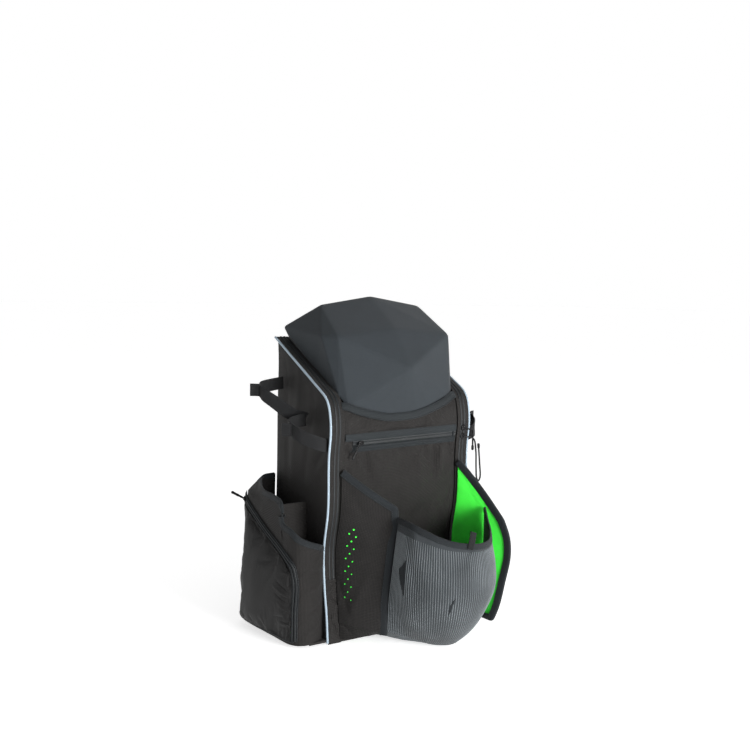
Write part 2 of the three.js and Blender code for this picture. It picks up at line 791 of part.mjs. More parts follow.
function strapCurve(reach) {
  return new THREE.CatmullRomCurve3(STRAP_ROUTE.map(({ out, along, up }) => new THREE.Vector3(
    SIDE + 2.5 * GAP + STRAP_THICKNESS + out * reach,
    -SLEEVE_FRONT + along * SLEEVE_LENGTH,
    STRAP_FRONT_HEIGHT + up * STRAP_RISE,
  )), false, 'centripetal');
}

function strapFace(curve, share) {
  const tangent = curve.getTangent(share);
  return new THREE.Vector3(tangent.y, -tangent.x, 0).normalize();
}

function buildStrap(reach) {
  const curve = strapCurve(reach);
  const steps = 48;
  const path = [];
  const faces = [];
  for (let i = 0; i <= steps; i += 1) {
    const point = curve.getPoint(i / steps);
    point.x = Math.max(point.x, SIDE + 2.5 * GAP + STRAP_THICKNESS);
    path.push(point);
    faces.push(strapFace(curve, i / steps));
  }
  return ribbon(path, faces, STRAP_WIDTH, STRAP_THICKNESS);
}

function buildStrapTab(reach, share) {
  const curve = strapCurve(reach);
  const face = strapFace(curve, share);
  const start = curve.getPoint(share).addScaledVector(face, 3.3 * GAP + STRAP_THICKNESS);
  const out = new THREE.Vector3(face.x, face.y + 0.6, 0).normalize();
  const across = new THREE.Vector3(-out.y, out.x, 0);
  const rings = [0, TAB_LENGTH].map((reachOut) => {
    const centre = start.clone().addScaledVector(out, reachOut);
    return [[-1, -1], [1, -1], [1, 1], [-1, 1]].map(([a, b]) => {
      const corner = centre.clone().addScaledVector(across, a * TAB_THICKNESS / 2);
      corner.z += b * TAB_HEIGHT / 2;
      return corner;
    });
  });
  return loft(rings);
}

// Wings: places on the sheet between the hinge (0) and the free edge (1), bottom (0) to top (1)
function wingSurface(edge, side, base, clear) {
  const free = new THREE.CatmullRomCurve3(edge.map(({ out, reach, up }) => new THREE.Vector3(
    side * (WING_HINGE + out * WING_REACH),
    -FRONT_REACH - reach * WING_REACH,
    up * WING_TOP,
  )), false, 'centripetal');
  const halfBound = (WING_THICKNESS + BINDING_THICKNESS) / 2;
  return (u, up) => {
    const v = THREE.MathUtils.clamp(up, 0, 1);
    const z = mix(base, WING_TOP, v);
    const root = new THREE.Vector3(side * WING_HINGE, frontAt(z), z);
    const edgePoint = free.getPoint(v);
    const bulge = side * WING_BULGE * (1 - 0.5 * v);
    const leaving = edgePoint.clone().sub(root).setZ(0);
    leaving.x += bulge * Math.PI;
    leaving.normalize();
    root.y -= clear + Math.abs(leaving.x) * halfBound;
    const point = root.lerp(edgePoint, u);
    point.x += bulge * Math.sin(Math.PI * u);
    return point;
  };
}

function wingGrid(surface, columns, rows, trim) {
  const grid = [];
  for (let r = 0; r <= rows; r += 1) {
    const row = [];
    for (let c = 0; c <= columns; c += 1) {
      const u = (c / columns) * (1 - trim.edge(r / rows));
      row.push(surface(u, mix(trim.bottom(u), 1 - trim.top(u), r / rows)));
    }
    grid.push(row);
  }
  return grid;
}

// Shares of the sheet that its bound edges take, measured square to each edge at the edge itself
function wingTrim(surface, withBottom) {
  const band = BINDING_WIDTH + 4 * GAP;
  return {
    edge: (v) => band / reachSquare(surface, 1, v, true),
    top: (u) => band / reachSquare(surface, u, 1, false),
    bottom: (u) => (withBottom ? band / reachSquare(surface, u, 0, false) : 0),
  };
}

// Length of sheet for a whole share of its columns (or rows), square to the other direction
function reachSquare(surface, u, v, alongColumns) {
  const step = 0.05;
  const [u0, u1] = [Math.max(0, u - step), Math.min(1, u + step)];
  const [v0, v1] = [Math.max(0, v - step), Math.min(1, v + step)];
  const across = surface(u1, v).sub(surface(u0, v)).divideScalar(u1 - u0);
  const up = surface(u, v1).sub(surface(u, v0)).divideScalar(v1 - v0);
  const area = across.clone().cross(up).length();
  return area / (alongColumns ? up : across).length();
}

function buildWing(surface, side, withBottom) {
  return sheet(wingGrid(surface, 8, 12, wingTrim(surface, withBottom)), side * -WING_THICKNESS);
}

function buildWingBinding(surface, side, withBottom) {
  const { edge, top, bottom } = wingTrim(surface, withBottom);
  const far = (v) => 1 - edge(v) / 2;
  const places = [];
  for (let i = 0; i <= 10; i += 1) {
    const u = mix(BINDING_START, far(1), i / 10);
    places.push([u, 1 - top(u) / 2]);
  }
  for (let i = 1; i <= 18; i += 1) {
    const v = mix(1 - top(1) / 2, bottom(1) / 2, i / 18);
    places.push([far(v), v]);
  }
  if (withBottom) {
    for (let i = 1; i <= 8; i += 1) {
      const u = far(0) * (1 - i / 8);
      places.push([u, bottom(u) / 2]);
    }
  }
  const step = 0.01;
  const faces = [];
  const path = places.map(([u, v]) => {
    const point = surface(u, v);
    const across = surface(u + step, v).sub(surface(u - step, v));
    const up = surface(u, v + step).sub(surface(u, v - step));
    const face = across.cross(up).normalize().multiplyScalar(-side);
    faces.push(face);
    const depth = (BINDING_THICKNESS - WING_THICKNESS) / 2;
    return point.addScaledVector(face, -depth);
  });
  return ribbon(path, faces, BINDING_WIDTH, BINDING_THICKNESS);
}

const leftWing = wingSurface(LEFT_WING_EDGE, -1, WING_BASE, 4 * GAP);
const rightWing = wingSurface(RIGHT_WING_EDGE, 1, WING_BASE / 2, 3 * GAP + ZIP_THICKNESS);

function pouchPoint(turn, radius, height) {
  const angle = THREE.MathUtils.degToRad(turn);
  return new THREE.Vector3(
    POUCH_CENTRE_OUT + POUCH_RADIUS * radius * Math.cos(angle),
    -POUCH_CENTRE_REACH + POUCH_RADIUS * radius * Math.sin(angle),
    height * POUCH_HEIGHT,
  );
}

function mouthPoint(turn) {
  const next = Math.max(1, POUCH_MOUTH.findIndex((row) => row.turn >= turn - 1e-9));
  const from = POUCH_MOUTH[next - 1];
  const to = POUCH_MOUTH[next];
  const share = (turn - from.turn) / (to.turn - from.turn);
  return pouchPoint(turn, mix(from.radius, to.radius, share), mix(from.up, to.up, share));
}

// Where the mesh is sewn to the left wing's free edge and to the right wing's lining
function leftSewing(height) {
  const v = (height - WING_BASE) / (WING_TOP - WING_BASE);
  const point = leftWing(1, v * 1.25);
  const out = point.clone().sub(leftWing(0, v)).setZ(0).normalize();
  return point.addScaledVector(out, MESH).setZ(height);
}

function rightSewing(height) {
  const v = THREE.MathUtils.clamp(height / WING_TOP * 1.2, 0.12, 0.98);
  const point = rightWing(0.55, v);
  const root = rightWing(0.45, v);
  const across = point.clone().sub(root).setZ(0).normalize();
  const inward = new THREE.Vector3(across.y, -across.x, 0);
  return point.addScaledVector(inward, WING_THICKNESS + MESH + 4 * GAP).setZ(height);
}

function pouchGrid() {
  const columns = 22;
  const firstTurn = POUCH_MOUTH[0].turn;
  const lastTurn = POUCH_MOUTH[POUCH_MOUTH.length - 2].turn;
  const turnAt = (c) => mix(firstTurn, lastTurn, (c - 1) / (columns - 2));
  const seamRow = [];
  const ringRows = POUCH_RINGS.map(() => []);
  const mouthRow = [];
  const seamReach = FRONT_REACH + GAP;
  const mouthEnd = POUCH_MOUTH[POUCH_MOUTH.length - 1];
  for (let c = 0; c <= columns; c += 1) {
    const x = mix(-POUCH_RADIUS * 0.72, WING_HINGE - MESH, c / columns);
    seamRow.push(new THREE.Vector3(x, -seamReach, POUCH_BASE));
    POUCH_RINGS.forEach(({ radius, up }, r) => {
      const height = up * POUCH_HEIGHT;
      if (c === 0) ringRows[r].push(leftSewing(height));
      else if (c === columns) ringRows[r].push(rightSewing(height));
      else ringRows[r].push(pouchPoint(turnAt(c), radius, up));
    });
    if (c === 0) mouthRow.push(leftSewing(POUCH_MOUTH[0].up * POUCH_HEIGHT));
    else if (c === columns) mouthRow.push(rightSewing(mouthEnd.up * POUCH_HEIGHT));
    else mouthRow.push(mouthPoint(turnAt(c)));
  }
  const floorRow = seamRow.map((point, c) => {
    const middle = point.clone().lerp(ringRows[0][c], 0.5);
    return middle.setZ(POUCH_RINGS[0].up * POUCH_HEIGHT);
  });
  return [seamRow, floorRow, ...ringRows, mouthRow];
}

function buildPouch() {
  return sheet(pouchGrid(), -MESH);
}

function mouthPath(drop, lift) {
  const grid = pouchGrid();
  const mouth = grid[grid.length - 1];
  const below = grid[grid.length - 2];
  const places = mouth.map((point, c) => {
    const down = below[c].clone().sub(point).normalize();
    const along = mouth[Math.min(c + 1, mouth.length - 1)].clone().sub(mouth[Math.max(c - 1, 0)]);
    const face = down.clone().cross(along).normalize();
    return { point: point.clone().addScaledVector(down, drop).addScaledVector(face, lift), face, down };
  });
  return places;
}

function buildMouthBinding() {
  const places = mouthPath(MOUTH_WIDTH / 2, 3 * GAP).slice(1, -1);
  const path = places.map(({ point }) => point);
  const faces = places.map(({ face }) => face);
  return ribbon(path, faces, MOUTH_WIDTH, MOUTH_THICKNESS);
}

// Box from its centre, three directions and its three lengths
function plate(centre, across, up, out, width, height, depth) {
  const corner = (a, b, c) => centre.clone()
    .addScaledVector(across, a * width / 2)
    .addScaledVector(up, b * height / 2)
    .addScaledVector(out, c * depth / 2);
  const ring = (c) => [corner(-1, -1, c), corner(1, -1, c), corner(1, 1, c), corner(-1, 1, c)];
  return loft([ring(-1), ring(1)]);
}

function buildPouchTab() {
  const places = mouthPath(0, 4 * GAP + MOUTH_THICKNESS + TAB_THICKNESS / 2);
  const { point, face, down } = places[Math.round(places.length * 0.6)];
  const up = down.clone().negate();
  const across = new THREE.Vector3().crossVectors(up, face).normalize();
  point.addScaledVector(up, POUCH_TAB_LENGTH / 2 - MOUTH_WIDTH);
  return plate(point, across, up, face, POUCH_TAB_WIDTH, POUCH_TAB_LENGTH, TAB_THICKNESS);
}

// Fold of cloth from the left wing's lower edge down to the bag's base
function buildWingGusset() {
  const columns = 8;
  const rows = 4;
  const grid = [];
  for (let r = 0; r <= rows; r += 1) {
    const row = [];
    for (let c = 0; c <= columns; c += 1) {
      const u = c / columns;
      const top = leftWing(u * 0.86, 0);
      top.z -= GAP * 3;
      const foot = top.clone().setZ(POUCH_BASE);
      foot.y = mix(top.y, -FRONT_REACH, 0.12 * u);
      const point = top.lerp(foot, r / rows);
      point.y = Math.min(point.y, frontAt(point.z) - POCKET_CLOTH - 2 * GAP);
      row.push(point);
    }
    grid.push(row);
  }
  return sheet(grid, POCKET_CLOTH);
}

const UP = new THREE.Vector3(0, 0, 1);
const OUT_FRONT = new THREE.Vector3(0, -1, 0);
const ACROSS = new THREE.Vector3(1, 0, 0);
const SLIDER_LIFT = 4 * GAP + ZIP_THICKNESS + SLIDER_THICKNESS / 2;

function buildSlider(point, across, up, out) {
  return plate(point, across, up, out, SLIDER_WIDTH, SLIDER_LENGTH, SLIDER_THICKNESS);
}

const frontSliderPlace = frontZipPoint(-FRONT_ZIP_LENGTH * 0.34);
frontSliderPlace.y -= SLIDER_LIFT;

function buildFrontPull() {
  const start = frontSliderPlace.clone();
  start.x -= SLIDER_LENGTH / 2 + PULL_RADIUS + GAP;
  const lean = new THREE.Vector3(-0.55, 0, -0.83);
  const end = start.clone().addScaledVector(lean, FRONT_PULL_LENGTH);
  const middle = start.clone().lerp(end, 0.5);
  middle.x += PULL_RADIUS;
  return cordAlong([start, middle, end], PULL_RADIUS);
}

function pocketSliderFrame() {
  const share = mix(POCKET_FROM, POCKET_TO, 0.93);
  const { point, face } = wallPoint(share, pocketTop(share), SLIDER_LIFT);
  const across = new THREE.Vector3(-face.y, face.x, 0);
  return { point, face, across };
}

function buildPocketSlider() {
  const { point, face, across } = pocketSliderFrame();
  return buildSlider(point, UP, across, face);
}

function buildPocketPull() {
  const { point, face, across } = pocketSliderFrame();
  const start = point.clone().addScaledVector(face, SLIDER_THICKNESS / 2 + PULL_RADIUS + GAP);
  const middle = start.clone().addScaledVector(across, POCKET_PULL_LENGTH * 0.45);
  middle.addScaledVector(face, POCKET_PULL_LENGTH * 0.2);
  const end = middle.clone().addScaledVector(across, POCKET_PULL_LENGTH * 0.3);
  end.addScaledVector(face, POCKET_PULL_LENGTH * 0.35);
  end.z += POCKET_PULL_LENGTH * 0.2;
  return cordAlong([start, middle, end], PULL_RADIUS);
}

function mainSliderPlace(height) {
  return new THREE.Vector3(ZIP_CENTRE, frontAt(height) - SLIDER_LIFT, height);
}

const UPPER_SLIDER_HEIGHT = SHOULDER_HEIGHT * 0.845;
const LOWER_SLIDER_HEIGHT = UPPER_SLIDER_HEIGHT - SLIDER_LENGTH - 4;

// Both pulls hang past the piping on the bag's right; the lower one is a long loop
function buildUpperPull() {
  const start = mainSliderPlace(UPPER_SLIDER_HEIGHT);
  start.y -= SLIDER_THICKNESS / 2 + PULL_RADIUS + GAP;
  const over = new THREE.Vector3(SIDE + 2.6 * PULL_RADIUS, start.y + 1, start.z - 2);
  const end = over.clone().add(new THREE.Vector3(1, 1, -UPPER_PULL_LENGTH));
  const middle = over.clone().lerp(end, 0.4);
  return cordAlong([start, over, middle, end], PULL_RADIUS);
}

function buildLowerPull() {
  const start = mainSliderPlace(LOWER_SLIDER_HEIGHT);
  start.y -= SLIDER_THICKNESS / 2 + PULL_RADIUS + GAP;
  const reach = SIDE + 6 * PULL_RADIUS;
  const steps = [
    { out: -8, down: 0.06 },
    { out: -2, down: 0.3 },
    { out: 0, down: 0.7 },
    { out: 2, down: 0.93 },
    { out: 6, down: 1 },
    { out: 10, down: 0.92 },
    { out: 8, down: 0.6 },
    { out: 5, down: 0.28 },
  ];
  const points = steps.map(({ out, down }) => (
    new THREE.Vector3(reach + out, start.y - 2.5 * PULL_RADIUS, start.z - down * LOWER_PULL_LENGTH)
  ));
  return cordAlong([start, ...points], PULL_RADIUS * 0.75);
}

function buildBackPad() {
  const half = PAD_WIDTH / 2;
  const corner = half * 0.28;
  const outline = new THREE.Shape();
  outline.moveTo(-half + corner, 0);
  outline.lineTo(half - corner, 0);
  outline.quadraticCurveTo(half, 0, half, corner);
  outline.lineTo(half, PAD_HEIGHT - corner);
  outline.quadraticCurveTo(half, PAD_HEIGHT, half - corner, PAD_HEIGHT);
  outline.lineTo(-half + corner, PAD_HEIGHT);
  outline.quadraticCurveTo(-half, PAD_HEIGHT, -half, PAD_HEIGHT - corner);
  outline.lineTo(-half, corner);
  outline.quadraticCurveTo(-half, 0, -half + corner, 0);
  const options = { depth: PAD_THICKNESS, bevelEnabled: false, curveSegments: 6 };
  const geometry = new THREE.ExtrudeGeometry(outline, options);
  return geometry.rotateX(Math.PI / 2).translate(0, BACK_REACH + GAP + PAD_THICKNESS, PAD_BASE);
}

// Shoulder strap: sewn above the pad, then standing clear of it down to the webbing
function shoulderRoute() {
  const seat = BACK_REACH + GAP;
  const clear = seat + PAD_THICKNESS + SHOULDER_CLEAR;
  const rows = [
    { spread: 0, reach: seat, down: -0.05 },
    { spread: 0, reach: mix(seat, clear, 0.45), down: 0.01 },
    { spread: 0, reach: mix(seat, clear, 0.85), down: 0.09 },
    { spread: 0.05, reach: clear, down: 0.25 },
    { spread: 0.2, reach: clear, down: 0.6 },
    { spread: 0.45, reach: clear, down: 1 },
  ];
  return rows.map(({ spread, reach, down }) => new THREE.Vector3(
    mix(SHOULDER_PLACE, WEBBING_SPREAD, spread * 0.6),
    reach,
    mix(SHOULDER_TOP, SHOULDER_END, down),
  ));
}

function buildShoulderStrap() {
  const path = new THREE.CatmullRomCurve3(shoulderRoute(), false, 'centripetal').getPoints(22);
  const faces = path.map(() => new THREE.Vector3(0, 1, 0));
  return ribbon(path, faces, SHOULDER_WIDTH, SHOULDER_THICKNESS);
}

function webbingRoute() {
  const route = shoulderRoute();
  const end = route[route.length - 1];
  const along = end.clone().sub(route[route.length - 2]).normalize();
  const start = end.clone().addScaledVector(along, 3 * GAP);
  start.y += SHOULDER_THICKNESS / 2;
  const below = start.clone().addScaledVector(along, ADJUSTER_LENGTH);
  const foot = new THREE.Vector3(WEBBING_SPREAD, BACK_REACH + GAP, WEBBING_FOOT);
  const bend = new THREE.Vector3(
    mix(start.x, WEBBING_SPREAD, 0.8),
    BACK_REACH + PAD_THICKNESS + 2 * WEBBING_THICKNESS,
    PAD_BASE + WEBBING_WIDTH * 1.4,
  );
  return [start, below, bend, foot];
}

function buildStrapWebbing() {
  const path = new THREE.CatmullRomCurve3(webbingRoute(), false, 'centripetal').getPoints(10);
  return ribbon(path, path.map(() => new THREE.Vector3(0, 1, 0)), WEBBING_WIDTH, WEBBING_THICKNESS);
}

function buildAdjuster() {
  const [start, below] = webbingRoute();
  const down = below.clone().sub(start).normalize();
  const across = new THREE.Vector3().crossVectors(down, new THREE.Vector3(0, 1, 0)).normalize();
  const out = new THREE.Vector3().crossVectors(across, down).normalize();
  const centre = start.clone().addScaledVector(down, ADJUSTER_LENGTH * 0.62);
  centre.addScaledVector(out, WEBBING_THICKNESS + 2 * GAP + ADJUSTER_THICKNESS / 2);
  return plate(centre, across, down, out, ADJUSTER_WIDTH, ADJUSTER_LENGTH, ADJUSTER_THICKNESS);
}

function buildHaulLoop() {
  const lean = new THREE.Vector3(0, 0.5, 0.87);
  const width = WEBBING_WIDTH * 0.8;
  const foot = BACK_REACH + GAP + width / 2 * lean.z;
  const steps = 14;
  const path = [];
  const faces = [];
  for (let i = 0; i <= steps; i += 1) {
    const turn = Math.PI * i / steps;
    const face = new THREE.Vector3(Math.cos(turn), 0, 0).addScaledVector(lean, Math.sin(turn));
    const point = new THREE.Vector3(HAUL_SPAN / 2 * Math.cos(turn), foot, HAUL_BASE);
    path.push(point.addScaledVector(lean, HAUL_RISE * Math.sin(turn)));
    faces.push(face);
  }
  return ribbon(path, faces, width, WEBBING_THICKNESS);
}

place('body_shell', buildBodyShell(), 'cloth');
place('front_panel', buildFrontPanel(), 'cloth');
place('dome_shell', buildLid(), 'lid');
place('dome_rim', buildRim(), 'tape');
for (const [word, side] of [['left', -1], ['right', 1]]) {
  place(`main_zip_${word}`, onSide(buildMainZip(), side), 'tape');
  place(`piping_${word}`, onSide(buildPiping(), side), 'piping');
  place(`bat_sleeve_${word}`, onSide(buildSleeve(), side), 'cloth');
  place(`sleeve_binding_${word}`, onSide(buildSleeveBinding(), side), 'tape');
  place(`pocket_panel_${word}`, onSide(buildPocketPanel(), side), 'cloth');
  place(`pocket_zip_${word}`, onSide(buildPocketZip(), side), 'tape');
  const reach = side < 0 ? STRAP_REACH_LEFT : STRAP_REACH_RIGHT;
  place(`bat_strap_${word}`, onSide(buildStrap(reach), side), 'tape');
  place(`strap_tab_front_${word}`, onSide(buildStrapTab(reach, 0.3), side), 'tape');
  place(`strap_tab_rear_${word}`, onSide(buildStrapTab(reach, 0.77), side), 'tape');
}
place('front_zip', buildFrontZip(), 'tape');
place('wing_left', buildWing(leftWing, -1, false), 'cloth');
place('wing_binding_left', buildWingBinding(leftWing, -1, false), 'tape');
place('wing_right', buildWing(rightWing, 1, true), 'cloth');
place('wing_binding_right', buildWingBinding(rightWing, 1, true), 'tape');
place('wing_gusset_left', buildWingGusset(), 'cloth');
place('mesh_pouch', buildPouch(), 'mesh');
place('mesh_binding', buildMouthBinding(), 'tape');
place('pouch_tab', buildPouchTab(), 'tape');
place('front_slider', buildSlider(frontSliderPlace, UP, ACROSS, OUT_FRONT), 'plastic');
place('front_pull', buildFrontPull(), 'plastic');
for (const [word, height] of [['upper', UPPER_SLIDER_HEIGHT], ['lower', LOWER_SLIDER_HEIGHT]]) {
  place(`main_slider_${word}`, buildSlider(mainSliderPlace(height), ACROSS, UP, OUT_FRONT), 'plastic');
}
place('main_pull_upper', buildUpperPull(), 'plastic');
place('main_pull_lower', buildLowerPull(), 'plastic');
place('back_pad', buildBackPad(), 'mesh');
place('haul_loop', buildHaulLoop(), 'tape');
for (const [word, side] of [['left', -1], ['right', 1]]) {
  place(`pocket_slider_${word}`, onSide(buildPocketSlider(), side), 'plastic');
  place(`pocket_pull_${word}`, onSide(buildPocketPull(), side), 'plastic');
  place(`shoulder_strap_${word}`, onSide(buildShoulderStrap(), side), 'cloth');
  place(`strap_webbing_${word}`, onSide(buildStrapWebbing(), side), 'tape');
  place(`strap_adjuster_${word}`, onSide(buildAdjuster(), side), 'plastic');
}

export default pack;
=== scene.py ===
"""Sports backpack with bat sleeves and a helmet carrier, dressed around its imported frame.

Sizes are in millimetres until a mesh is made; every Blender object is in metres.
"""

import logging
import math
from dataclasses import dataclass, field
from enum import Enum

import bpy
import numpy as np
from mathutils import Matrix, Vector


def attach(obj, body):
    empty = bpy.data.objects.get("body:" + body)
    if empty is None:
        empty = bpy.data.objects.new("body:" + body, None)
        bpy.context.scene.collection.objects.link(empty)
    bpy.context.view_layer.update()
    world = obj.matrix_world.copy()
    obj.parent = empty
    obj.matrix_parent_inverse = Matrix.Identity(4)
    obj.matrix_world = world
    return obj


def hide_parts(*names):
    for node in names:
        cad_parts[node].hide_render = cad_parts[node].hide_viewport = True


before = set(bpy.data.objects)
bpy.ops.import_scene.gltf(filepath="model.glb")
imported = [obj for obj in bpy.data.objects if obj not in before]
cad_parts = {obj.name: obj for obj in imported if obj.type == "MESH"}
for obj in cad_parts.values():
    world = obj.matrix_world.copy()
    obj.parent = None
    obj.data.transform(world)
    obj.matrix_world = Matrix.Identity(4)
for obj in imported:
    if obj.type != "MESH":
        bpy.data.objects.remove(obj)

LOG = logging.getLogger("backpack")
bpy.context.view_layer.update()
MM = 0.001
GAP = 0.3
SIDES = (("left", -1), ("right", 1))
Array = np.ndarray


# Curves and grids


def mix(start: float, end: float, share: float) -> float:
    """Value between two others."""
    return start + (end - start) * share


def unit(vectors: Array) -> Array:
    """Vectors scaled to length one along the last axis."""
    length = np.linalg.norm(vectors, axis=-1, keepdims=True)
    return vectors / np.maximum(length, 1e-9)


class Spline:
    """Curve through points that bends as a flexible lath does."""

    def __init__(self, points: list | Array, even: bool = False) -> None:
        """Keep the points.

        Args:
            points: Places that the curve passes through.
            even: Whether each stretch takes the same share, whatever its length.
        """
        self.points = np.asarray(points, float)
        self.even = even

    def at(self, shares: float | Array) -> Array:
        """Points of the curve.

        Args:
            shares: Places along the curve from 0 to 1.

        Returns:
            One row for each share.
        """
        points = self.points
        last = len(points) - 1
        place = np.clip(np.atleast_1d(shares), 0, 1) * last
        index = np.minimum(place.astype(int), last - 1)
        w = (place - index)[:, None]
        if self.even:
            padded = np.vstack([points[:1], points, points[-1:]])
        else:
            padded = np.vstack([2 * points[0] - points[1], points, 2 * points[-1] - points[-2]])
        p0, p1, p2, p3 = (padded[index + k] for k in range(4))
        if self.even:
            t1, t2 = (p2 - p0) / 2, (p3 - p1) / 2
        else:
            d0, d1, d2 = (
                np.sqrt(np.maximum(np.linalg.norm(b - a, axis=1), 1e-6))[:, None]
                for a, b in ((p0, p1), (p1, p2), (p2, p3))
            )
            t1 = ((p1 - p0) / d0 - (p2 - p0) / (d0 + d1) + (p2 - p1) / d1) * d1
            t2 = ((p2 - p1) / d1 - (p3 - p1) / (d1 + d2) + (p3 - p2) / d2) * d1
        c2 = -3 * p1 + 3 * p2 - 2 * t1 - t2
        c3 = 2 * p1 - 2 * p2 + t1 + t2
        return p1 + t1 * w + c2 * w**2 + c3 * w**3


def arc_shares(points: Array) -> Array:
    """Share of a path's length at each of its points."""
    steps = np.linalg.norm(np.diff(points, axis=0), axis=1)
    run = np.concatenate([[0], np.cumsum(steps)])
    return run / run[-1]


def path_length(points: Array) -> float:
    """Length of a path."""
    return float(np.linalg.norm(np.diff(points, axis=0), axis=1).sum())


def resample(points: Array, count: int) -> Array:
    """The same path with evenly spaced points.

    Args:
        points: Path, one row for each point.
        count: Number of points wanted.

    Returns:
        The new path.
    """
    shares = arc_shares(points)
    wanted = np.linspace(0, 1, count)
    return np.stack([np.interp(wanted, shares, points[:, k]) for k in range(points.shape[1])], 1)


def soften(points: Array, reach: int) -> Array:
    """Path with its corners rounded and its ends kept.

    Args:
        points: Evenly spaced path.
        reach: Number of points on each side that are averaged.

    Returns:
        The softened path.
    """
    result = points.copy()
    for i in range(len(points)):
        near = min(reach, i, len(points) - 1 - i)
        result[i] = points[i - near : i + near + 1].mean(0)
    return result


def tangents(points: Array) -> Array:
    """Unit direction of a path at each of its points."""
    return unit(np.gradient(points, axis=0))


def refine(grid: Array, rows: int, columns: int) -> Array:
    """Smooth grid of more rows and columns through a coarse one.

    Args:
        grid: Coarse points by row and column.
        rows: Rows wanted.
        columns: Columns wanted.

    Returns:
        The fine grid.
    """
    down = np.stack([Spline(grid[:, c], True).at(np.linspace(0, 1, rows)) for c in range(grid.shape[1])], 1)
    return np.stack([Spline(row, True).at(np.linspace(0, 1, columns)) for row in down])


def grid_normals(grid: Array) -> Array:
    """Unit normals of a grid, across times up."""
    return unit(np.cross(np.gradient(grid, axis=1), np.gradient(grid, axis=0)))


def grid_uv(grid: Array) -> Array:
    """Flat measures of a grid in metres, across and up.

    Args:
        grid: Points by row and column.

    Returns:
        Two measures for each point.
    """
    across = np.linalg.norm(np.diff(grid, axis=1), axis=2).mean(0)
    up = np.linalg.norm(np.diff(grid, axis=0), axis=2).mean(1)
    u, v = np.meshgrid(np.concatenate([[0], np.cumsum(across)]), np.concatenate([[0], np.cumsum(up)]))
    return np.stack([u, v], -1) * MM


@dataclass(frozen=True)
class Fold:
    """Soft ridge (or dent, where its height is negative) from one place of a sheet to another."""

    start: tuple[float, float]
    end: tuple[float, float]
    width: float
    height: float


def relief(grid: Array, folds: list[Fold]) -> Array:
    """Height that folds add to a grid.

    Args:
        grid: Points by row and column.
        folds: Folds, placed by shares of the grid's columns and rows.

    Returns:
        A height for each point.
    """
    flat = grid_uv(grid) / MM
    size = flat[-1, -1]
    total = np.zeros(grid.shape[:2])
    for fold in folds:
        start, end = np.array(fold.start) * size, np.array(fold.end) * size
        run = end - start
        share = np.clip(((flat - start) @ run) / (run @ run), 0, 1)
        off = np.linalg.norm(flat - start - share[..., None] * run, axis=-1)
        total += fold.height * np.exp(-((off / fold.width) ** 2)) * np.sin(np.pi * mix(0.15, 0.85, share)) ** 0.7
    return total


def ripple(points: Array, pitch: float, seed: int) -> Array:
    """Smooth uneven swelling in space, about -1 to 1.

    Args:
        points: Places to read it at.
        pitch: Distance from one swell to the next.
        seed: Seed of its directions.

    Returns:
        One value for each point.
    """
    source = np.random.default_rng(seed)
    total = np.zeros(points.shape[:-1])
    for _ in range(7):
        direction = unit(source.normal(size=3)) * source.uniform(0.6, 1.5)
        total += np.sin(points @ direction * 2 * np.pi / pitch + source.uniform(0, 2 * np.pi))
    return total / 3.2


# Finishes


class Weave(Enum):
    """Surface pattern of a finish."""

    RIPSTOP = "ripstop"
    TWILL = "twill"
    RIBBED = "ribbed"
    WEBBING = "webbing"
    BRUSHED = "brushed"
    NET = "net"
    AIR = "air"
    MOULDED = "moulded"


@dataclass(frozen=True)
class Finish:
    """Look of one material, with its pattern and the record's slot that it stands for."""

    name: str
    slot: str
    colour: tuple[float, float, float]
    weave: Weave
    pitch: float = 2.0
    roughness: float = 0.85
    sheen: float = 0.3
    contrast: float = 0.35
    depth: float = 0.25
    wear: float = 0.15
    flat_map: bool = True
    gloss: float = 0.16

    def material(self) -> bpy.types.Material:
        """Blender material of the finish, made once."""
        made = bpy.data.materials.get(self.name)
        if made:
            return made
        material = bpy.data.materials.new(self.name)
        material.use_nodes = True
        FinishNodes(material.node_tree, self).build()
        return material


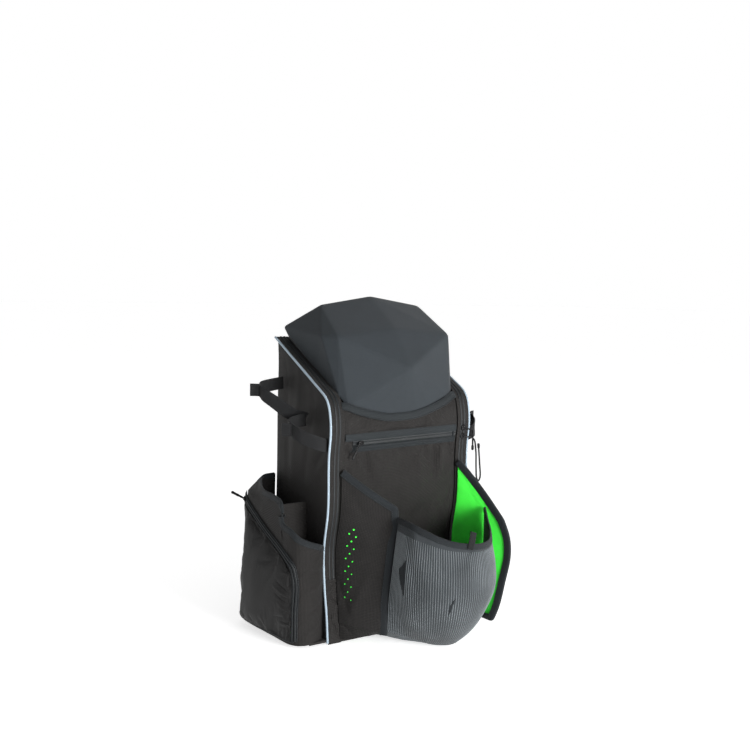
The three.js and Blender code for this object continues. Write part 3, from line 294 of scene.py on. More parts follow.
class FinishNodes:
    """Builds the shader of a finish."""

    def __init__(self, tree: bpy.types.NodeTree, finish: Finish) -> None:
        """Start from an empty tree.

        Args:
            tree: Node tree of the material.
            finish: Finish that it shows.
        """
        self.tree = tree
        self.finish = finish
        tree.nodes.clear()

    def node(self, kind: str, **settings: object) -> bpy.types.Node:
        """New node with its settings."""
        made = self.tree.nodes.new(kind)
        for key, value in settings.items():
            setattr(made, key, value)
        return made

    def math(self, operation: str, first: object, second: object = 0.0) -> bpy.types.NodeSocket:
        """Result of a calculation on two sockets or numbers.

        Args:
            operation: Blender's name of the calculation.
            first: Socket or number.
            second: Socket or number.

        Returns:
            The result's socket.
        """
        made = self.node("ShaderNodeMath", operation=operation)
        for socket, value in zip(made.inputs, (first, second)):
            if isinstance(value, bpy.types.NodeSocket):
                self.tree.links.new(value, socket)
            else:
                socket.default_value = value
        return made.outputs[0]

    def wave(self, place: object, pitch: float) -> bpy.types.NodeSocket:
        """Sine of a place in metres that repeats at a pitch in millimetres."""
        return self.math("SINE", self.math("MULTIPLY", place, 2 * math.pi / (pitch * MM)))

    def noise(self, vector: bpy.types.NodeSocket, scale: float, detail: float) -> bpy.types.NodeSocket:
        """Noise value at a place."""
        made = self.node("ShaderNodeTexNoise")
        made.inputs["Scale"].default_value = scale
        made.inputs["Detail"].default_value = detail
        self.tree.links.new(vector, made.inputs["Vector"])
        return made.outputs["Fac"]

    def pattern(
        self, u: bpy.types.NodeSocket, v: bpy.types.NodeSocket, grain: bpy.types.NodeSocket
    ) -> bpy.types.NodeSocket:
        """Height of the weave, about -1 to 1.

        Args:
            u: Place along the cloth.
            v: Place across it.
            grain: Fine noise.

        Returns:
            The pattern's socket.
        """
        pitch = self.finish.pitch
        weave = self.finish.weave
        if weave is Weave.RIPSTOP:
            rising = self.wave(self.math("ADD", u, v), pitch)
            falling = self.wave(self.math("SUBTRACT", u, v), pitch)
            return self.math("MULTIPLY", rising, falling)
        if weave is Weave.TWILL:
            return self.wave(self.math("ADD", u, self.math("MULTIPLY", v, 0.7)), pitch)
        if weave is Weave.RIBBED:
            fine = self.math("MULTIPLY", self.wave(v, pitch * 0.8), 0.35)
            return self.math("ADD", self.math("MULTIPLY", self.wave(u, pitch), 0.65), fine)
        if weave is Weave.WEBBING:
            lean = self.math("ABSOLUTE", self.wave(v, pitch * 4))
            return self.wave(self.math("ADD", u, self.math("MULTIPLY", lean, pitch * MM * 0.5)), pitch)
        if weave in (Weave.NET, Weave.AIR):
            cell = self.math("MULTIPLY", self.wave(u, pitch), self.wave(v, pitch))
            return self.math("SUBTRACT", 0.6, self.math("MULTIPLY", self.math("ABSOLUTE", cell), 1.6))
        return self.math("SUBTRACT", self.math("MULTIPLY", grain, 2), 1)

    def build(self) -> None:
        """Make the whole shader."""
        finish = self.finish
        links = self.tree.links
        place = self.node("ShaderNodeTexCoord")
        split = self.node("ShaderNodeSeparateXYZ")
        links.new(place.outputs["UV" if finish.flat_map else "Object"], split.inputs[0])
        u, v = split.outputs[0], split.outputs[1 if finish.flat_map else 2]
        grain = self.noise(place.outputs["Object"], 1500, 2)
        cloud = self.noise(place.outputs["Object"], 22, 3)
        pattern = self.pattern(u, v, grain)
        height = self.math("ADD", pattern, self.math("MULTIPLY", grain, 0.5))
        tone = self.math("MULTIPLY", pattern, finish.contrast * 0.5)
        worn = self.math("MULTIPLY", self.math("SUBTRACT", cloud, 0.5), finish.wear * 4)
        fine = self.math("MULTIPLY", self.math("SUBTRACT", grain, 0.5), finish.contrast)
        level = self.math("ADD", 1.0, self.math("ADD", tone, self.math("ADD", worn, fine)))
        colour = self.node("ShaderNodeVectorMath", operation="SCALE")
        colour.inputs[0].default_value = finish.colour
        links.new(level, colour.inputs["Scale"])
        shader = self.node("ShaderNodeBsdfPrincipled")
        links.new(colour.outputs[0], shader.inputs["Base Color"])
        rough = self.math("ADD", finish.roughness - 0.05, self.math("MULTIPLY", cloud, 0.1))
        links.new(rough, shader.inputs["Roughness"])
        shader.inputs["Sheen Weight"].default_value = finish.sheen
        shader.inputs["Sheen Roughness"].default_value = 0.5
        shader.inputs["Specular IOR Level"].default_value = finish.gloss
        bump = self.node("ShaderNodeBump")
        bump.inputs["Strength"].default_value = 0.7
        bump.inputs["Distance"].default_value = finish.depth * MM
        links.new(height, bump.inputs["Height"])
        links.new(bump.outputs[0], shader.inputs["Normal"])
        out = self.node("ShaderNodeOutputMaterial")
        links.new(shader.outputs[0], out.inputs["Surface"])


CLOTH = Finish("ripstop_cloth", "cloth", (0.0125, 0.0114, 0.0108), Weave.RIPSTOP, 5.2, 0.66, 0.05, 1.0, 0.5, 0.14)
SMOOTH_CLOTH = Finish("pocket_cloth", "cloth", (0.0098, 0.0096, 0.0096), Weave.RIPSTOP, 4.4, 0.55, 0.04, 0.55, 0.25, 0.12)
WING_CLOTH = Finish(
    "wing_ripstop", "wing_cloth", (0.0128, 0.0119, 0.0115), Weave.RIPSTOP, 5.2, 0.66, 0.05, 0.9, 0.5, 0.14, True, 0.13
)
LINING = Finish("green_lining", "wing_cloth", (0.06, 0.93, 0.06), Weave.TWILL, 1.0, 0.6, 0.05, 0.12, 0.15, 0.12)
LID_CLOTH = Finish(
    "moulded_lid_cloth", "moulded_lid", (0.0225, 0.027, 0.031), Weave.BRUSHED, 1.0, 0.8, 0.08, 0.5, 0.12, 0.06, False
)
TAPE = Finish("zip_tape", "tape", (0.0125, 0.0155, 0.0175), Weave.RIBBED, 1.4, 0.6, 0.06, 0.5, 0.25)
BINDING = Finish("edge_binding", "tape", (0.0105, 0.013, 0.015), Weave.RIBBED, 1.2, 0.62, 0.06, 0.5, 0.25)
WEBBING = Finish("strap_webbing", "webbing", (0.0075, 0.0078, 0.0085), Weave.WEBBING, 1.6, 0.6, 0.05, 0.5, 0.35)
PIPING = Finish("reflective_piping", "piping", (0.3, 0.37, 0.43), Weave.BRUSHED, 1.0, 0.4, 0.05, 0.15, 0.06, 0.08)
NET = Finish("pouch_mesh", "stretch_mesh", (0.033, 0.038, 0.042), Weave.NET, 1.8, 0.55, 0.08, 0.7, 0.3, 0.1, True, 0.14)
THREAD = Finish(
    "mesh_thread", "stretch_mesh", (0.172, 0.19, 0.2), Weave.BRUSHED, 1.0, 0.5, 0.05, 0.2, 0.1, 0.35, False, 0.12
)
ZIP = Finish("coated_zip", "tape", (0.0085, 0.0104, 0.0117), Weave.RIBBED, 1.4, 0.48, 0.03, 0.4, 0.12, 0.1, True, 0.26)
STITCH = Finish("seam_stitch", "tape", (0.022, 0.025, 0.027), Weave.BRUSHED, 1.0, 0.5, 0.05, 0.2, 0.1, 0.1, False)
AIR_MESH = Finish("air_mesh", "back_mesh", (0.011, 0.011, 0.012), Weave.AIR, 5.0, 0.75, 0.08, 0.8, 0.9, 0.1, False)
PLASTIC = Finish("moulded_pull", "pulls", (0.006, 0.006, 0.0065), Weave.MOULDED, 1.0, 0.32, 0.0, 0.2, 0.04, 0.1, False)
BUCKLE = Finish("moulded_buckle", "buckles", (0.007, 0.007, 0.0075), Weave.MOULDED, 1.0, 0.4, 0.0, 0.2, 0.05, 0.1, False)


# Mesh drafts


class Draft:
    """Corner points, faces and flat measures that become one closed mesh."""

    def __init__(self) -> None:
        """Start empty."""
        self.points: list[Array] = []
        self.faces: list[tuple[int, ...]] = []
        self.flats: list[list[tuple[float, float]]] = []
        self.count = 0

    def add_points(self, points: Array) -> int:
        """Keep points.

        Args:
            points: One row for each point.

        Returns:
            Index of the first of them.
        """
        start = self.count
        self.points.append(points.reshape(-1, 3))
        self.count += points.reshape(-1, 3).shape[0]
        return start

    def add_face(self, corners: list[int], flat: list) -> None:
        """Keep one face with its flat measures."""
        self.faces.append(tuple(int(c) for c in corners))
        self.flats.append([tuple(f) for f in flat])

    def weave_grid(self, start: int, rows: int, columns: int, uv: Array, loop: bool, turn: bool) -> None:
        """Quads between the points of a grid.

        Args:
            start: Index of the grid's first point.
            rows: Rows of points.
            columns: Columns of points.
            uv: Flat measures, with one more column where the grid closes.
            loop: Whether the last column joins the first.
            turn: Whether the faces look the other way.
        """
        for r in range(rows - 1):
            for c in range(columns if loop else columns - 1):
                d = (c + 1) % columns
                corners = [start + r * columns + c, start + r * columns + d]
                corners += [start + (r + 1) * columns + d, start + (r + 1) * columns + c]
                flat = [uv[r, c], uv[r, c + 1], uv[r + 1, c + 1], uv[r + 1, c]]
                if turn:
                    corners.reverse()
                    flat.reverse()
                self.add_face(corners, flat)

    def add_sheet(self, grid: Array, thickness: float, lift: Array | float = 0.0) -> "Draft":
        """Cloth with two faces and a closed edge.

        Args:
            grid: Points by row and column.
            thickness: Thickness along the grid's normals, or against them where negative.
            lift: Height along the normals that moves the whole sheet.

        Returns:
            The draft itself.
        """
        rows, columns = grid.shape[:2]
        normals = grid_normals(grid)
        uv = grid_uv(grid)
        raised = grid + normals * (np.ones((rows, columns)) * lift)[..., None]
        near = self.add_points(raised)
        far = self.add_points(raised + grid_normals(raised) * thickness)
        self.weave_grid(near, rows, columns, uv, False, True)
        self.weave_grid(far, rows, columns, uv, False, False)
        index = np.arange(rows * columns).reshape(rows, columns)
        ring = [*index[0], *index[1:, -1], *index[-1, -2::-1], *index[-2:0:-1, 0]]
        flat = uv.reshape(-1, 2)
        for a, b in zip(ring, ring[1:] + ring[:1]):
            self.add_face([near + a, near + b, far + b, far + a], [flat[a], flat[b], flat[b], flat[a]])
        return self

    def add_band(self, path: Array, outs: Array, section: Array, closed: bool = False) -> "Draft":
        """Tape or tube of one section along a path.

        Args:
            path: Points along the middle.
            outs: Direction away from what it lies on, at each point.
            section: Closed outline as (across, out) pairs, or one outline for each point.
            closed: Whether the path is a ring.

        Returns:
            The draft itself.
        """
        along = unit(np.roll(path, -1, 0) - np.roll(path, 1, 0)) if closed else tangents(path)
        across = unit(np.cross(along, outs))
        face = unit(np.cross(across, along))
        outline = np.broadcast_to(section, (len(path), *section.shape[-2:]))
        points = path[:, None] + across[:, None] * outline[..., :1] + face[:, None] * outline[..., 1:]
        rows, columns = points.shape[:2]
        start = self.add_points(points)
        run = np.concatenate([[0], np.cumsum(np.linalg.norm(np.diff(path, axis=0), axis=1))])
        ring = np.vstack([outline[0], outline[0][:1]])
        turn = np.concatenate([[0], np.cumsum(np.linalg.norm(np.diff(ring, axis=0), axis=1))])
        uv = np.stack(np.meshgrid(run, turn, indexing="ij"), -1) * MM
        self.weave_grid(start, rows, columns, uv, True, False)
        if closed:
            last = start + (rows - 1) * columns
            for c in range(columns):
                d = (c + 1) % columns
                self.add_face([last + c, last + d, start + d, start + c], [uv[-1, c], uv[-1, c + 1], uv[-1, c + 1], uv[-1, c]])
            return self
        self.add_face(list(range(start + columns - 1, start - 1, -1)), [uv[0, c] for c in range(columns - 1, -1, -1)])
        last = start + (rows - 1) * columns
        self.add_face(list(range(last, last + columns)), [uv[-1, c] for c in range(columns)])
        return self

    def object(self, name: str, finish: Finish, side: int = 1, crease: float = 50.0) -> bpy.types.Object:
        """Blender object of the draft.

        Args:
            name: Name of the object.
            finish: Finish of its surface.
            side: -1 to mirror it to the bag's left.
            crease: Angle in degrees past which an edge stays sharp.

        Returns:
            The object, at the origin.
        """
        points = np.vstack(self.points) * MM
        points[:, 0] *= side
        first = points[[face[0] for face in self.faces]]
        second = points[[face[1] for face in self.faces]]
        third = points[[face[2] for face in self.faces]]
        fourth = points[[face[-1] for face in self.faces]]
        volume = np.einsum("ij,ij->", first, np.cross(second, third))
        volume += np.einsum("ij,ij->", first, np.cross(third, fourth))
        faces, flats = self.faces, self.flats
        if volume < 0:
            faces = [face[::-1] for face in faces]
            flats = [flat[::-1] for flat in flats]
        mesh = bpy.data.meshes.new(name)
        mesh.from_pydata(points.tolist(), [], faces)
        layer = mesh.uv_layers.new(name="UVMap")
        layer.data.foreach_set("uv", np.array([pair for flat in flats for pair in flat], np.float32).ravel())
        mesh.materials.append(finish.material())
        mesh.shade_smooth()
        mesh.set_sharp_from_angle(angle=math.radians(crease))
        made = bpy.data.objects.new(name, mesh)
        bpy.context.scene.collection.objects.link(made)
        return made


def tube_section(radius: float, sides: int = 10) -> Array:
    """Round outline of a cord."""
    turn = np.arange(sides) * 2 * np.pi / sides
    return np.stack([radius * np.cos(turn), radius * np.sin(turn)], 1)


def tape_section(width: float, thickness: float, crown: float = 0.0) -> Array:
    """Outline of a flat tape with soft edges.

    Args:
        width: Width across.
        thickness: Thickness at its middle.
        crown: How much thinner its edges are.

    Returns:
        The outline, its underside at height zero.
    """
    half = width / 2
    across = np.linspace(-half, half, 9)
    top = thickness - crown * (across / half) ** 2
    top[[0, -1]] *= 0.55
    under = np.stack([across[::-1], np.zeros(9)], 1)
    return np.vstack([np.stack([across, top], 1), under])


def zip_section(width: float, height: float, spread: float = 1.0) -> Array:
    """Outline of a zip: flat tape with two covered ridges and a groove between them.

    Args:
        width: Width of the tape.
        height: Height of the ridges.
        spread: Scale of the ridges' width.

    Returns:
        The outline, its underside at height zero.
    """
    half = width / 2
    ridge = [(-5.2, 0.8), (-4.7, 0.45), (-4.2, 0.9), (-3.6, height * 0.85), (-2.6, height), (-1.5, height * 0.9)]
    ridge += [(-0.7, height * 0.55), (-0.25, 0.45)]
    rows = [(-half, 0.1), (-half + 0.3, 0.7)] + [(across * spread, level) for across, level in ridge]
    top = np.array(rows + [(-a, h) for a, h in reversed(rows)])
    under = np.array([(half, 0.0), (-half, 0.0)])
    return np.vstack([top, under])


def wrap_section(width: float, wall: float, cloth: float) -> Array:
    """Outline of a binding folded over an edge: open side down, its fold at height zero.

    Args:
        width: Width of the binding on each side of the edge.
        wall: Thickness of what it wraps.
        cloth: Thickness of the binding.

    Returns:
        Closed outline as (depth below the edge, side) pairs.
    """
    turns = np.linspace(-np.pi / 2, np.pi / 2, 7)
    outer = wall / 2 + cloth
    inner = wall / 2
    fold_out = np.stack([outer * 0.8 * np.cos(turns), outer * np.sin(turns)], 1)
    fold_in = np.stack([inner * 0.8 * np.cos(turns[::-1]), inner * np.sin(turns[::-1])], 1)
    top = np.array([[-width, -outer], [-width * 0.5, -outer - 0.25]])
    low = np.array([[-width * 0.5, outer + 0.25], [-width, outer]])
    return np.vstack([top, fold_out, low, [[-width, inner]], fold_in, [[-width, -inner]]])


# Cloth that settles


@dataclass(frozen=True)
class Settling:
    """How a sewn piece of cloth fills out before it is applied."""

    growth: float
    pressure: float
    cap: float
    bending: float = 0.3
    frames: int = 20


def cloth_modifier(piece: bpy.types.Object, settling: Settling, held: Array) -> bpy.types.ClothModifier:
    """Give a piece the cloth that fills it out.

    Args:
        piece: Piece to fill out.
        settling: Its cloth's sizes.
        held: Weight of each point, 1 where it is sewn down.

    Returns:
        The modifier.
    """
    group = piece.vertex_groups.new(name="sewn")
    for index in np.nonzero(held > 0)[0]:
        group.add([int(index)], float(held[index]), "REPLACE")
    cloth = piece.modifiers.new("filling", "CLOTH")
    settings = cloth.settings
    settings.quality = 6
    settings.mass = 0.3
    settings.tension_stiffness = settings.compression_stiffness = 15
    settings.shear_stiffness = 5
    settings.bending_stiffness = settling.bending
    settings.use_pressure = True
    settings.uniform_pressure_force = settling.pressure
    settings.shrink_min = -settling.growth
    settings.vertex_group_mass = "sewn"
    settings.effector_weights.gravity = 0
    cloth.collision_settings.use_collision = False
    cloth.point_cache.frame_start = 1
    cloth.point_cache.frame_end = settling.frames
    return cloth


def filled_out(piece: bpy.types.Object, settling: Settling, held: Array) -> Array:
    """Run a piece's cloth and give its points in metres, each within the cap of where it was.

    Args:
        piece: Piece in the scene.
        settling: Its cloth's sizes.
        held: Weight of each point, 1 where it is sewn down.

    Returns:
        The settled points.
    """
    start = np.array([vertex.co for vertex in piece.data.vertices])
    cloth = cloth_modifier(piece, settling, held)
    scene = bpy.context.scene
    for frame_number in range(1, settling.frames + 1):
        scene.frame_set(frame_number)
    graph = bpy.context.evaluated_depsgraph_get()
    mesh = piece.evaluated_get(graph).data
    end = np.array([vertex.co for vertex in mesh.vertices])
    piece.modifiers.remove(cloth)
    scene.frame_set(1)
    move = np.nan_to_num(end - start)
    length = np.linalg.norm(move, axis=1, keepdims=True)
    limit = settling.cap * MM
    return start + move * np.where(length > 0, limit * np.tanh(length / limit) / np.maximum(length, 1e-9), 0)


def settle(grid: Array, settling: Settling, border: int = 1) -> Array:
    """Grid whose sewn-down border holds while the cloth inside fills out.

    Args:
        grid: Points by row and column in millimetres.
        settling: Sizes of its cloth.
        border: Rows and columns at the edge that are sewn down.

    Returns:
        The settled grid.
    """
    rows, columns = grid.shape[:2]
    index = np.arange(rows * columns).reshape(rows, columns)
    faces = np.stack([index[:-1, :-1], index[:-1, 1:], index[1:, 1:], index[1:, :-1]], -1).reshape(-1, 4)
    mesh = bpy.data.meshes.new("settling")
    mesh.from_pydata((grid.reshape(-1, 3) * MM).tolist(), [], faces.tolist())
    piece = bpy.data.objects.new("settling", mesh)
    bpy.context.scene.collection.objects.link(piece)
    held = np.ones((rows, columns))
    held[border:-border, border:-border] = 0
    points = filled_out(piece, settling, held.ravel())
    bpy.data.objects.remove(piece)
    bpy.data.meshes.remove(mesh)
    return points.reshape(grid.shape) / MM


def fill_padding(piece: bpy.types.Object, settling: Settling, seat: float) -> None:
    """Swell a closed padded piece, keeping the side that it rests on.

    Args:
        piece: Closed piece.
        settling: Sizes of its cloth.
        seat: Points behind this place along y stay still.
    """
    coarse = piece.modifiers.new("even", "REMESH")
    coarse.mode = "VOXEL"
    coarse.voxel_size = 0.0045
    coarse.use_smooth_shade = True
    apply_modifiers(piece)
    points = np.array([vertex.co for vertex in piece.data.vertices])
    held = (points[:, 1] < seat * MM).astype(float)
    settled = filled_out(piece, settling, held)
    piece.data.vertices.foreach_set("co", settled.astype(np.float32).ravel())
    fine = piece.modifiers.new("fine", "SUBSURF")
    fine.levels = fine.render_levels = 1
    apply_modifiers(piece)
    piece.data.shade_smooth()


# Geometry Nodes


class Repeat:
    """Node tree that repeats or sweeps a small shape, with named sizes as its inputs."""

    def __init__(self, name: str, finish: Finish, inputs: dict[str, float]) -> None:
        """Make an empty tree.

        Args:
            name: Name of the tree.
            finish: Finish that the result gets.
            inputs: Names of the sizes and their values in metres.
        """
        self.tree = bpy.data.node_groups.new(name, "GeometryNodeTree")
        self.finish = finish
        self.values = inputs
        face = self.tree.interface
        face.new_socket("Geometry", in_out="INPUT", socket_type="NodeSocketGeometry")
        for key in inputs:
            face.new_socket(key, in_out="INPUT", socket_type="NodeSocketFloat")
        face.new_socket("Geometry", in_out="OUTPUT", socket_type="NodeSocketGeometry")
        self.start = self.tree.nodes.new("NodeGroupInput")

    def node(self, kind: str, **links: object) -> bpy.types.Node:
        """New node with its inputs linked to sockets or set to numbers.

        Args:
            kind: Blender's name of the node.
            links: Values for its inputs, with _ for a space in a name.

        Returns:
            The node.
        """
        made = self.tree.nodes.new(kind)
        for key, value in links.items():
            socket = made.inputs[key.replace("_", " ")]
            if isinstance(value, bpy.types.NodeSocket):
                self.tree.links.new(value, socket)
            else:
                socket.default_value = value
        return made

    def finish_with(self, shape: bpy.types.NodeSocket) -> None:
        """End the tree with real geometry in its finish."""
        real = self.node("GeometryNodeRealizeInstances", Geometry=shape)
        dressed = self.node("GeometryNodeSetMaterial", Geometry=real.outputs[0])
        dressed.inputs["Material"].default_value = self.finish.material()
        out = self.tree.nodes.new("NodeGroupOutput")
        self.tree.links.new(dressed.outputs[0], out.inputs[0])

    def run(self, name: str, source: bpy.types.Object) -> bpy.types.Object:
        """Apply the tree to a source and keep the plain mesh.

        Args:
            name: Name of the finished piece.
            source: Curve or points; removed afterwards.

        Returns:
            The piece.
        """
        modifier = source.modifiers.new("repeat", "NODES")
        modifier.node_group = self.tree
        for item in self.tree.interface.items_tree:
            if item.in_out == "INPUT" and item.name in self.values:
                modifier[item.identifier] = self.values[item.name]
        graph = bpy.context.evaluated_depsgraph_get()
        graph.update()
        mesh = bpy.data.meshes.new_from_object(source.evaluated_get(graph))
        mesh.name = name
        if not mesh.materials:
            mesh.materials.append(self.finish.material())
        mesh.shade_smooth()
        mesh.set_sharp_from_angle(angle=math.radians(50))
        bpy.data.objects.remove(source)
        made = bpy.data.objects.new(name, mesh)
        bpy.context.scene.collection.objects.link(made)
        return made


def curve_source(paths: list[Array]) -> bpy.types.Object:
    """Curve object with one straight-stepped line for each path in millimetres."""
    curve = bpy.data.curves.new("paths", "CURVE")
    curve.dimensions = "3D"
    for path in paths:
        line = curve.splines.new("POLY")
        line.points.add(len(path) - 1)
        flat = np.hstack([path * MM, np.ones((len(path), 1))])
        line.points.foreach_set("co", flat.ravel())
    made = bpy.data.objects.new("paths", curve)
    bpy.context.scene.collection.objects.link(made)
    return made


def stitches(name: str, paths: list[Array], finish: Finish, spacing: float = 3.2, size: float = 0.32) -> bpy.types.Object:
    """Row of stitches along each path.

    Args:
        name: Name of the piece.
        paths: Seams in millimetres.
        finish: Finish of the thread.
        spacing: Distance from one stitch to the next.
        size: Thread's radius.

    Returns:
        The piece.
    """
    inputs = {"Spacing": spacing * MM, "Radius": size * MM, "Length": spacing * 0.66 * MM}
    repeat = Repeat(name + "_tree", finish, inputs)
    spaced = repeat.node("GeometryNodeResampleCurve", Curve=repeat.start.outputs["Geometry"])
    set_mode(spaced, "LENGTH", "Length")
    repeat.tree.links.new(repeat.start.outputs["Spacing"], spaced.inputs["Length"])
    thread = repeat.node(
        "GeometryNodeMeshCylinder",
        Vertices=6,
        Radius=repeat.start.outputs["Radius"],
        Depth=repeat.start.outputs["Length"],
    )
    tangent = repeat.node("GeometryNodeInputTangent")
    turned = repeat.node("FunctionNodeAlignRotationToVector", Vector=tangent.outputs[0])
    turned.axis = "Z"
    placed = repeat.node(
        "GeometryNodeInstanceOnPoints",
        Points=spaced.outputs[0],
        Instance=thread.outputs["Mesh"],
        Rotation=turned.outputs[0],
    )
    repeat.finish_with(placed.outputs[0])
    return repeat.run(name, curve_source(paths))


def set_mode(node: bpy.types.Node, value: str, label: str) -> None:
    """Choose a node's mode, whether it is a property or a menu input.

    Args:
        node: Node to set.
        value: Property's value.
        label: Menu entry's name.
    """
    if hasattr(node, "mode"):
        node.mode = value
    else:
        node.inputs["Mode"].default_value = label


def threads(name: str, paths: list[Array], finish: Finish, radius: float) -> bpy.types.Object:
    """Fine thread swept along each path.

    Args:
        name: Name of the piece.
        paths: Threads' middles in millimetres.
        finish: Finish of the thread.
        radius: Its radius in millimetres.

    Returns:
        The piece.
    """
    repeat = Repeat(name + "_tree", finish, {"Radius": radius * MM})
    ring = repeat.node("GeometryNodeCurvePrimitiveCircle", Resolution=4, Radius=repeat.start.outputs["Radius"])
    swept = repeat.node("GeometryNodeCurveToMesh", Curve=repeat.start.outputs["Geometry"])
    repeat.tree.links.new(ring.outputs[0], swept.inputs["Profile Curve"])
    swept.inputs["Fill Caps"].default_value = True
    repeat.finish_with(swept.outputs[0])
    return repeat.run(name, curve_source(paths))


def studs(name: str, places: Array, facing: Array, sizes: Array, finish: Finish, depth: float) -> bpy.types.Object:
    """Small round eyes set in a surface.

    Args:
        name: Name of the piece.
        places: Middle of each in millimetres.
        facing: Direction that each looks in.
        sizes: Radius of each in millimetres.
        finish: Their finish.
        depth: Their thickness in millimetres.

    Returns:
        The piece.
    """
    repeat = Repeat(name + "_tree", finish, {"Depth": depth * MM})
    disc = repeat.node("GeometryNodeMeshCylinder", Vertices=12, Radius=MM, Depth=repeat.start.outputs["Depth"])
    look = repeat.tree.nodes.new("GeometryNodeInputNamedAttribute")
    look.data_type = "FLOAT_VECTOR"
    look.inputs["Name"].default_value = "facing"
    size = repeat.tree.nodes.new("GeometryNodeInputNamedAttribute")
    size.data_type = "FLOAT"
    size.inputs["Name"].default_value = "size"
    turned = repeat.node("FunctionNodeAlignRotationToVector", Vector=look.outputs["Attribute"])
    turned.axis = "Z"
    grown = repeat.node("ShaderNodeCombineXYZ", X=size.outputs["Attribute"], Y=size.outputs["Attribute"], Z=1.0)
    placed = repeat.node(
        "GeometryNodeInstanceOnPoints",
        Points=repeat.start.outputs["Geometry"],
        Instance=disc.outputs["Mesh"],
        Rotation=turned.outputs[0],
        Scale=grown.outputs[0],
    )
    repeat.finish_with(placed.outputs[0])
    mesh = bpy.data.meshes.new("eyes")
    mesh.from_pydata((places * MM).tolist(), [], [])
    mesh.attributes.new("facing", "FLOAT_VECTOR", "POINT").data.foreach_set("vector", facing.astype(np.float32).ravel())
    mesh.attributes.new("size", "FLOAT", "POINT").data.foreach_set("value", sizes.astype(np.float32))
    source = bpy.data.objects.new("eyes", mesh)
    bpy.context.scene.collection.objects.link(source)
    return repeat.run(name, source)


def dress(piece: bpy.types.Object, finish: Finish, *nodes: str) -> bpy.types.Object:
    """Tie a finished piece to the frame.

    Args:
        piece: Finished piece at the origin.
        finish: Finish of the piece; not used.
        nodes: CAD nodes that it stands for.

    Returns:
        The piece.
    """
    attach(piece, "root")
    if nodes:
        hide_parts(*nodes)
    LOG.info("%s: %d faces", piece.name, len(piece.data.polygons))
    return piece


def mirror_path(path: Array, side: int) -> Array:
    """Path on the bag's right moved to a side."""
    return path * np.array([side, 1, 1])


# Main body


@dataclass
class BodyShape:
    """Side profile of the main body, shared by all that is sewn to it."""

    width: float = 292.0
    front_reach: float = 121.0
    back_reach: float = 72.0
    shoulder_height: float = 417.0
    back_height: float = 508.0
    seam_wave: float = 17.0
    zip_opening: float = 242.0
    front_zip_height: float = 340.3
    front_zip_rise: float = 4.4
    front_zip_length: float = 236.0
    rim_ends: float = 411.0
    rim_drop: float = 28.5
    rim_tilt: float = 9.0
    seam_rows: tuple = (
        (0, 0), (0.12, 0.3), (0.23, 0.76), (0.38, 1), (0.55, 0.3), (0.75, 0.3), (0.87, 0), (0.96, 0.35), (1, 1),
    )
    rim_rows: tuple = ((0, 1), (0.25, 0.95), (0.5, 0.72), (0.75, 0.4), (1, 0))
    seam: Array = field(init=False)

    def __post_init__(self) -> None:
        """Sample the front seam."""
        rows = [(-self.front_reach + dent * self.seam_wave, up * self.shoulder_height) for up, dent in self.seam_rows]
        self.seam = Spline(rows, True).at(np.linspace(0, 1, 241))

    @property
    def side(self) -> float:
        """Half the body's width."""
        return self.width / 2

    @property
    def flange(self) -> float:
        """Half the width of the zipped opening."""
        return self.zip_opening / 2

    @property
    def zip_centre(self) -> float:
        """Middle of the main zip, out from the bag's middle."""
        return self.flange + (self.side - self.flange) / 2 - 0.5

    def front_at(self, height: float | Array) -> Array:
        """Place of the front at a height."""
        return np.interp(height, self.seam[:, 1], self.seam[:, 0])

    def front_zip_at(self, x: float | Array) -> Array:
        """Height of the front zip's middle across the front."""
        return self.front_zip_height + x / self.front_zip_length * self.front_zip_rise

    def top_at(self, y: float | Array) -> Array:
        """Height of the slanted top at a place."""
        slope = (self.back_height - self.shoulder_height) / (self.back_reach + self.front_reach - self.seam_wave)
        return self.shoulder_height + (y + self.front_reach - self.seam_wave) * slope

    def rim_height(self, x: float | Array) -> Array:
        """Height of the lid's lower edge across the front."""
        rows = np.array(self.rim_rows)
        drop = Spline(rows[:, 1:], True).at(np.linspace(0, 1, 41))[:, 0]
        low = self.rim_tilt * np.clip((1 - np.asarray(x) / self.flange) / 2, 0, 1) ** 1.5
        return self.rim_ends - low - self.rim_drop * np.interp(np.abs(x) / self.flange, np.linspace(0, 1, 41), drop)

    def route(self, start: float, count: int) -> tuple[Array, Array]:
        """Edge of a side panel, up the front seam and back over the slanted top.

        Args:
            start: Height that it starts at.
            count: Number of points.

        Returns:
            Points (y, z) and outward normals (y, z).
        """
        seam = self.seam[self.seam[:, 1] > start]
        first = [[float(self.front_at(start)), start]]
        end = self.back_reach - 0.4
        path = np.vstack([first, seam, [[end, float(self.top_at(end))]]])
        path = soften(resample(path, 600), 11)
        path = resample(path, count)
        along = tangents(path)
        return path, np.stack([-along[:, 1], along[:, 0]], 1)


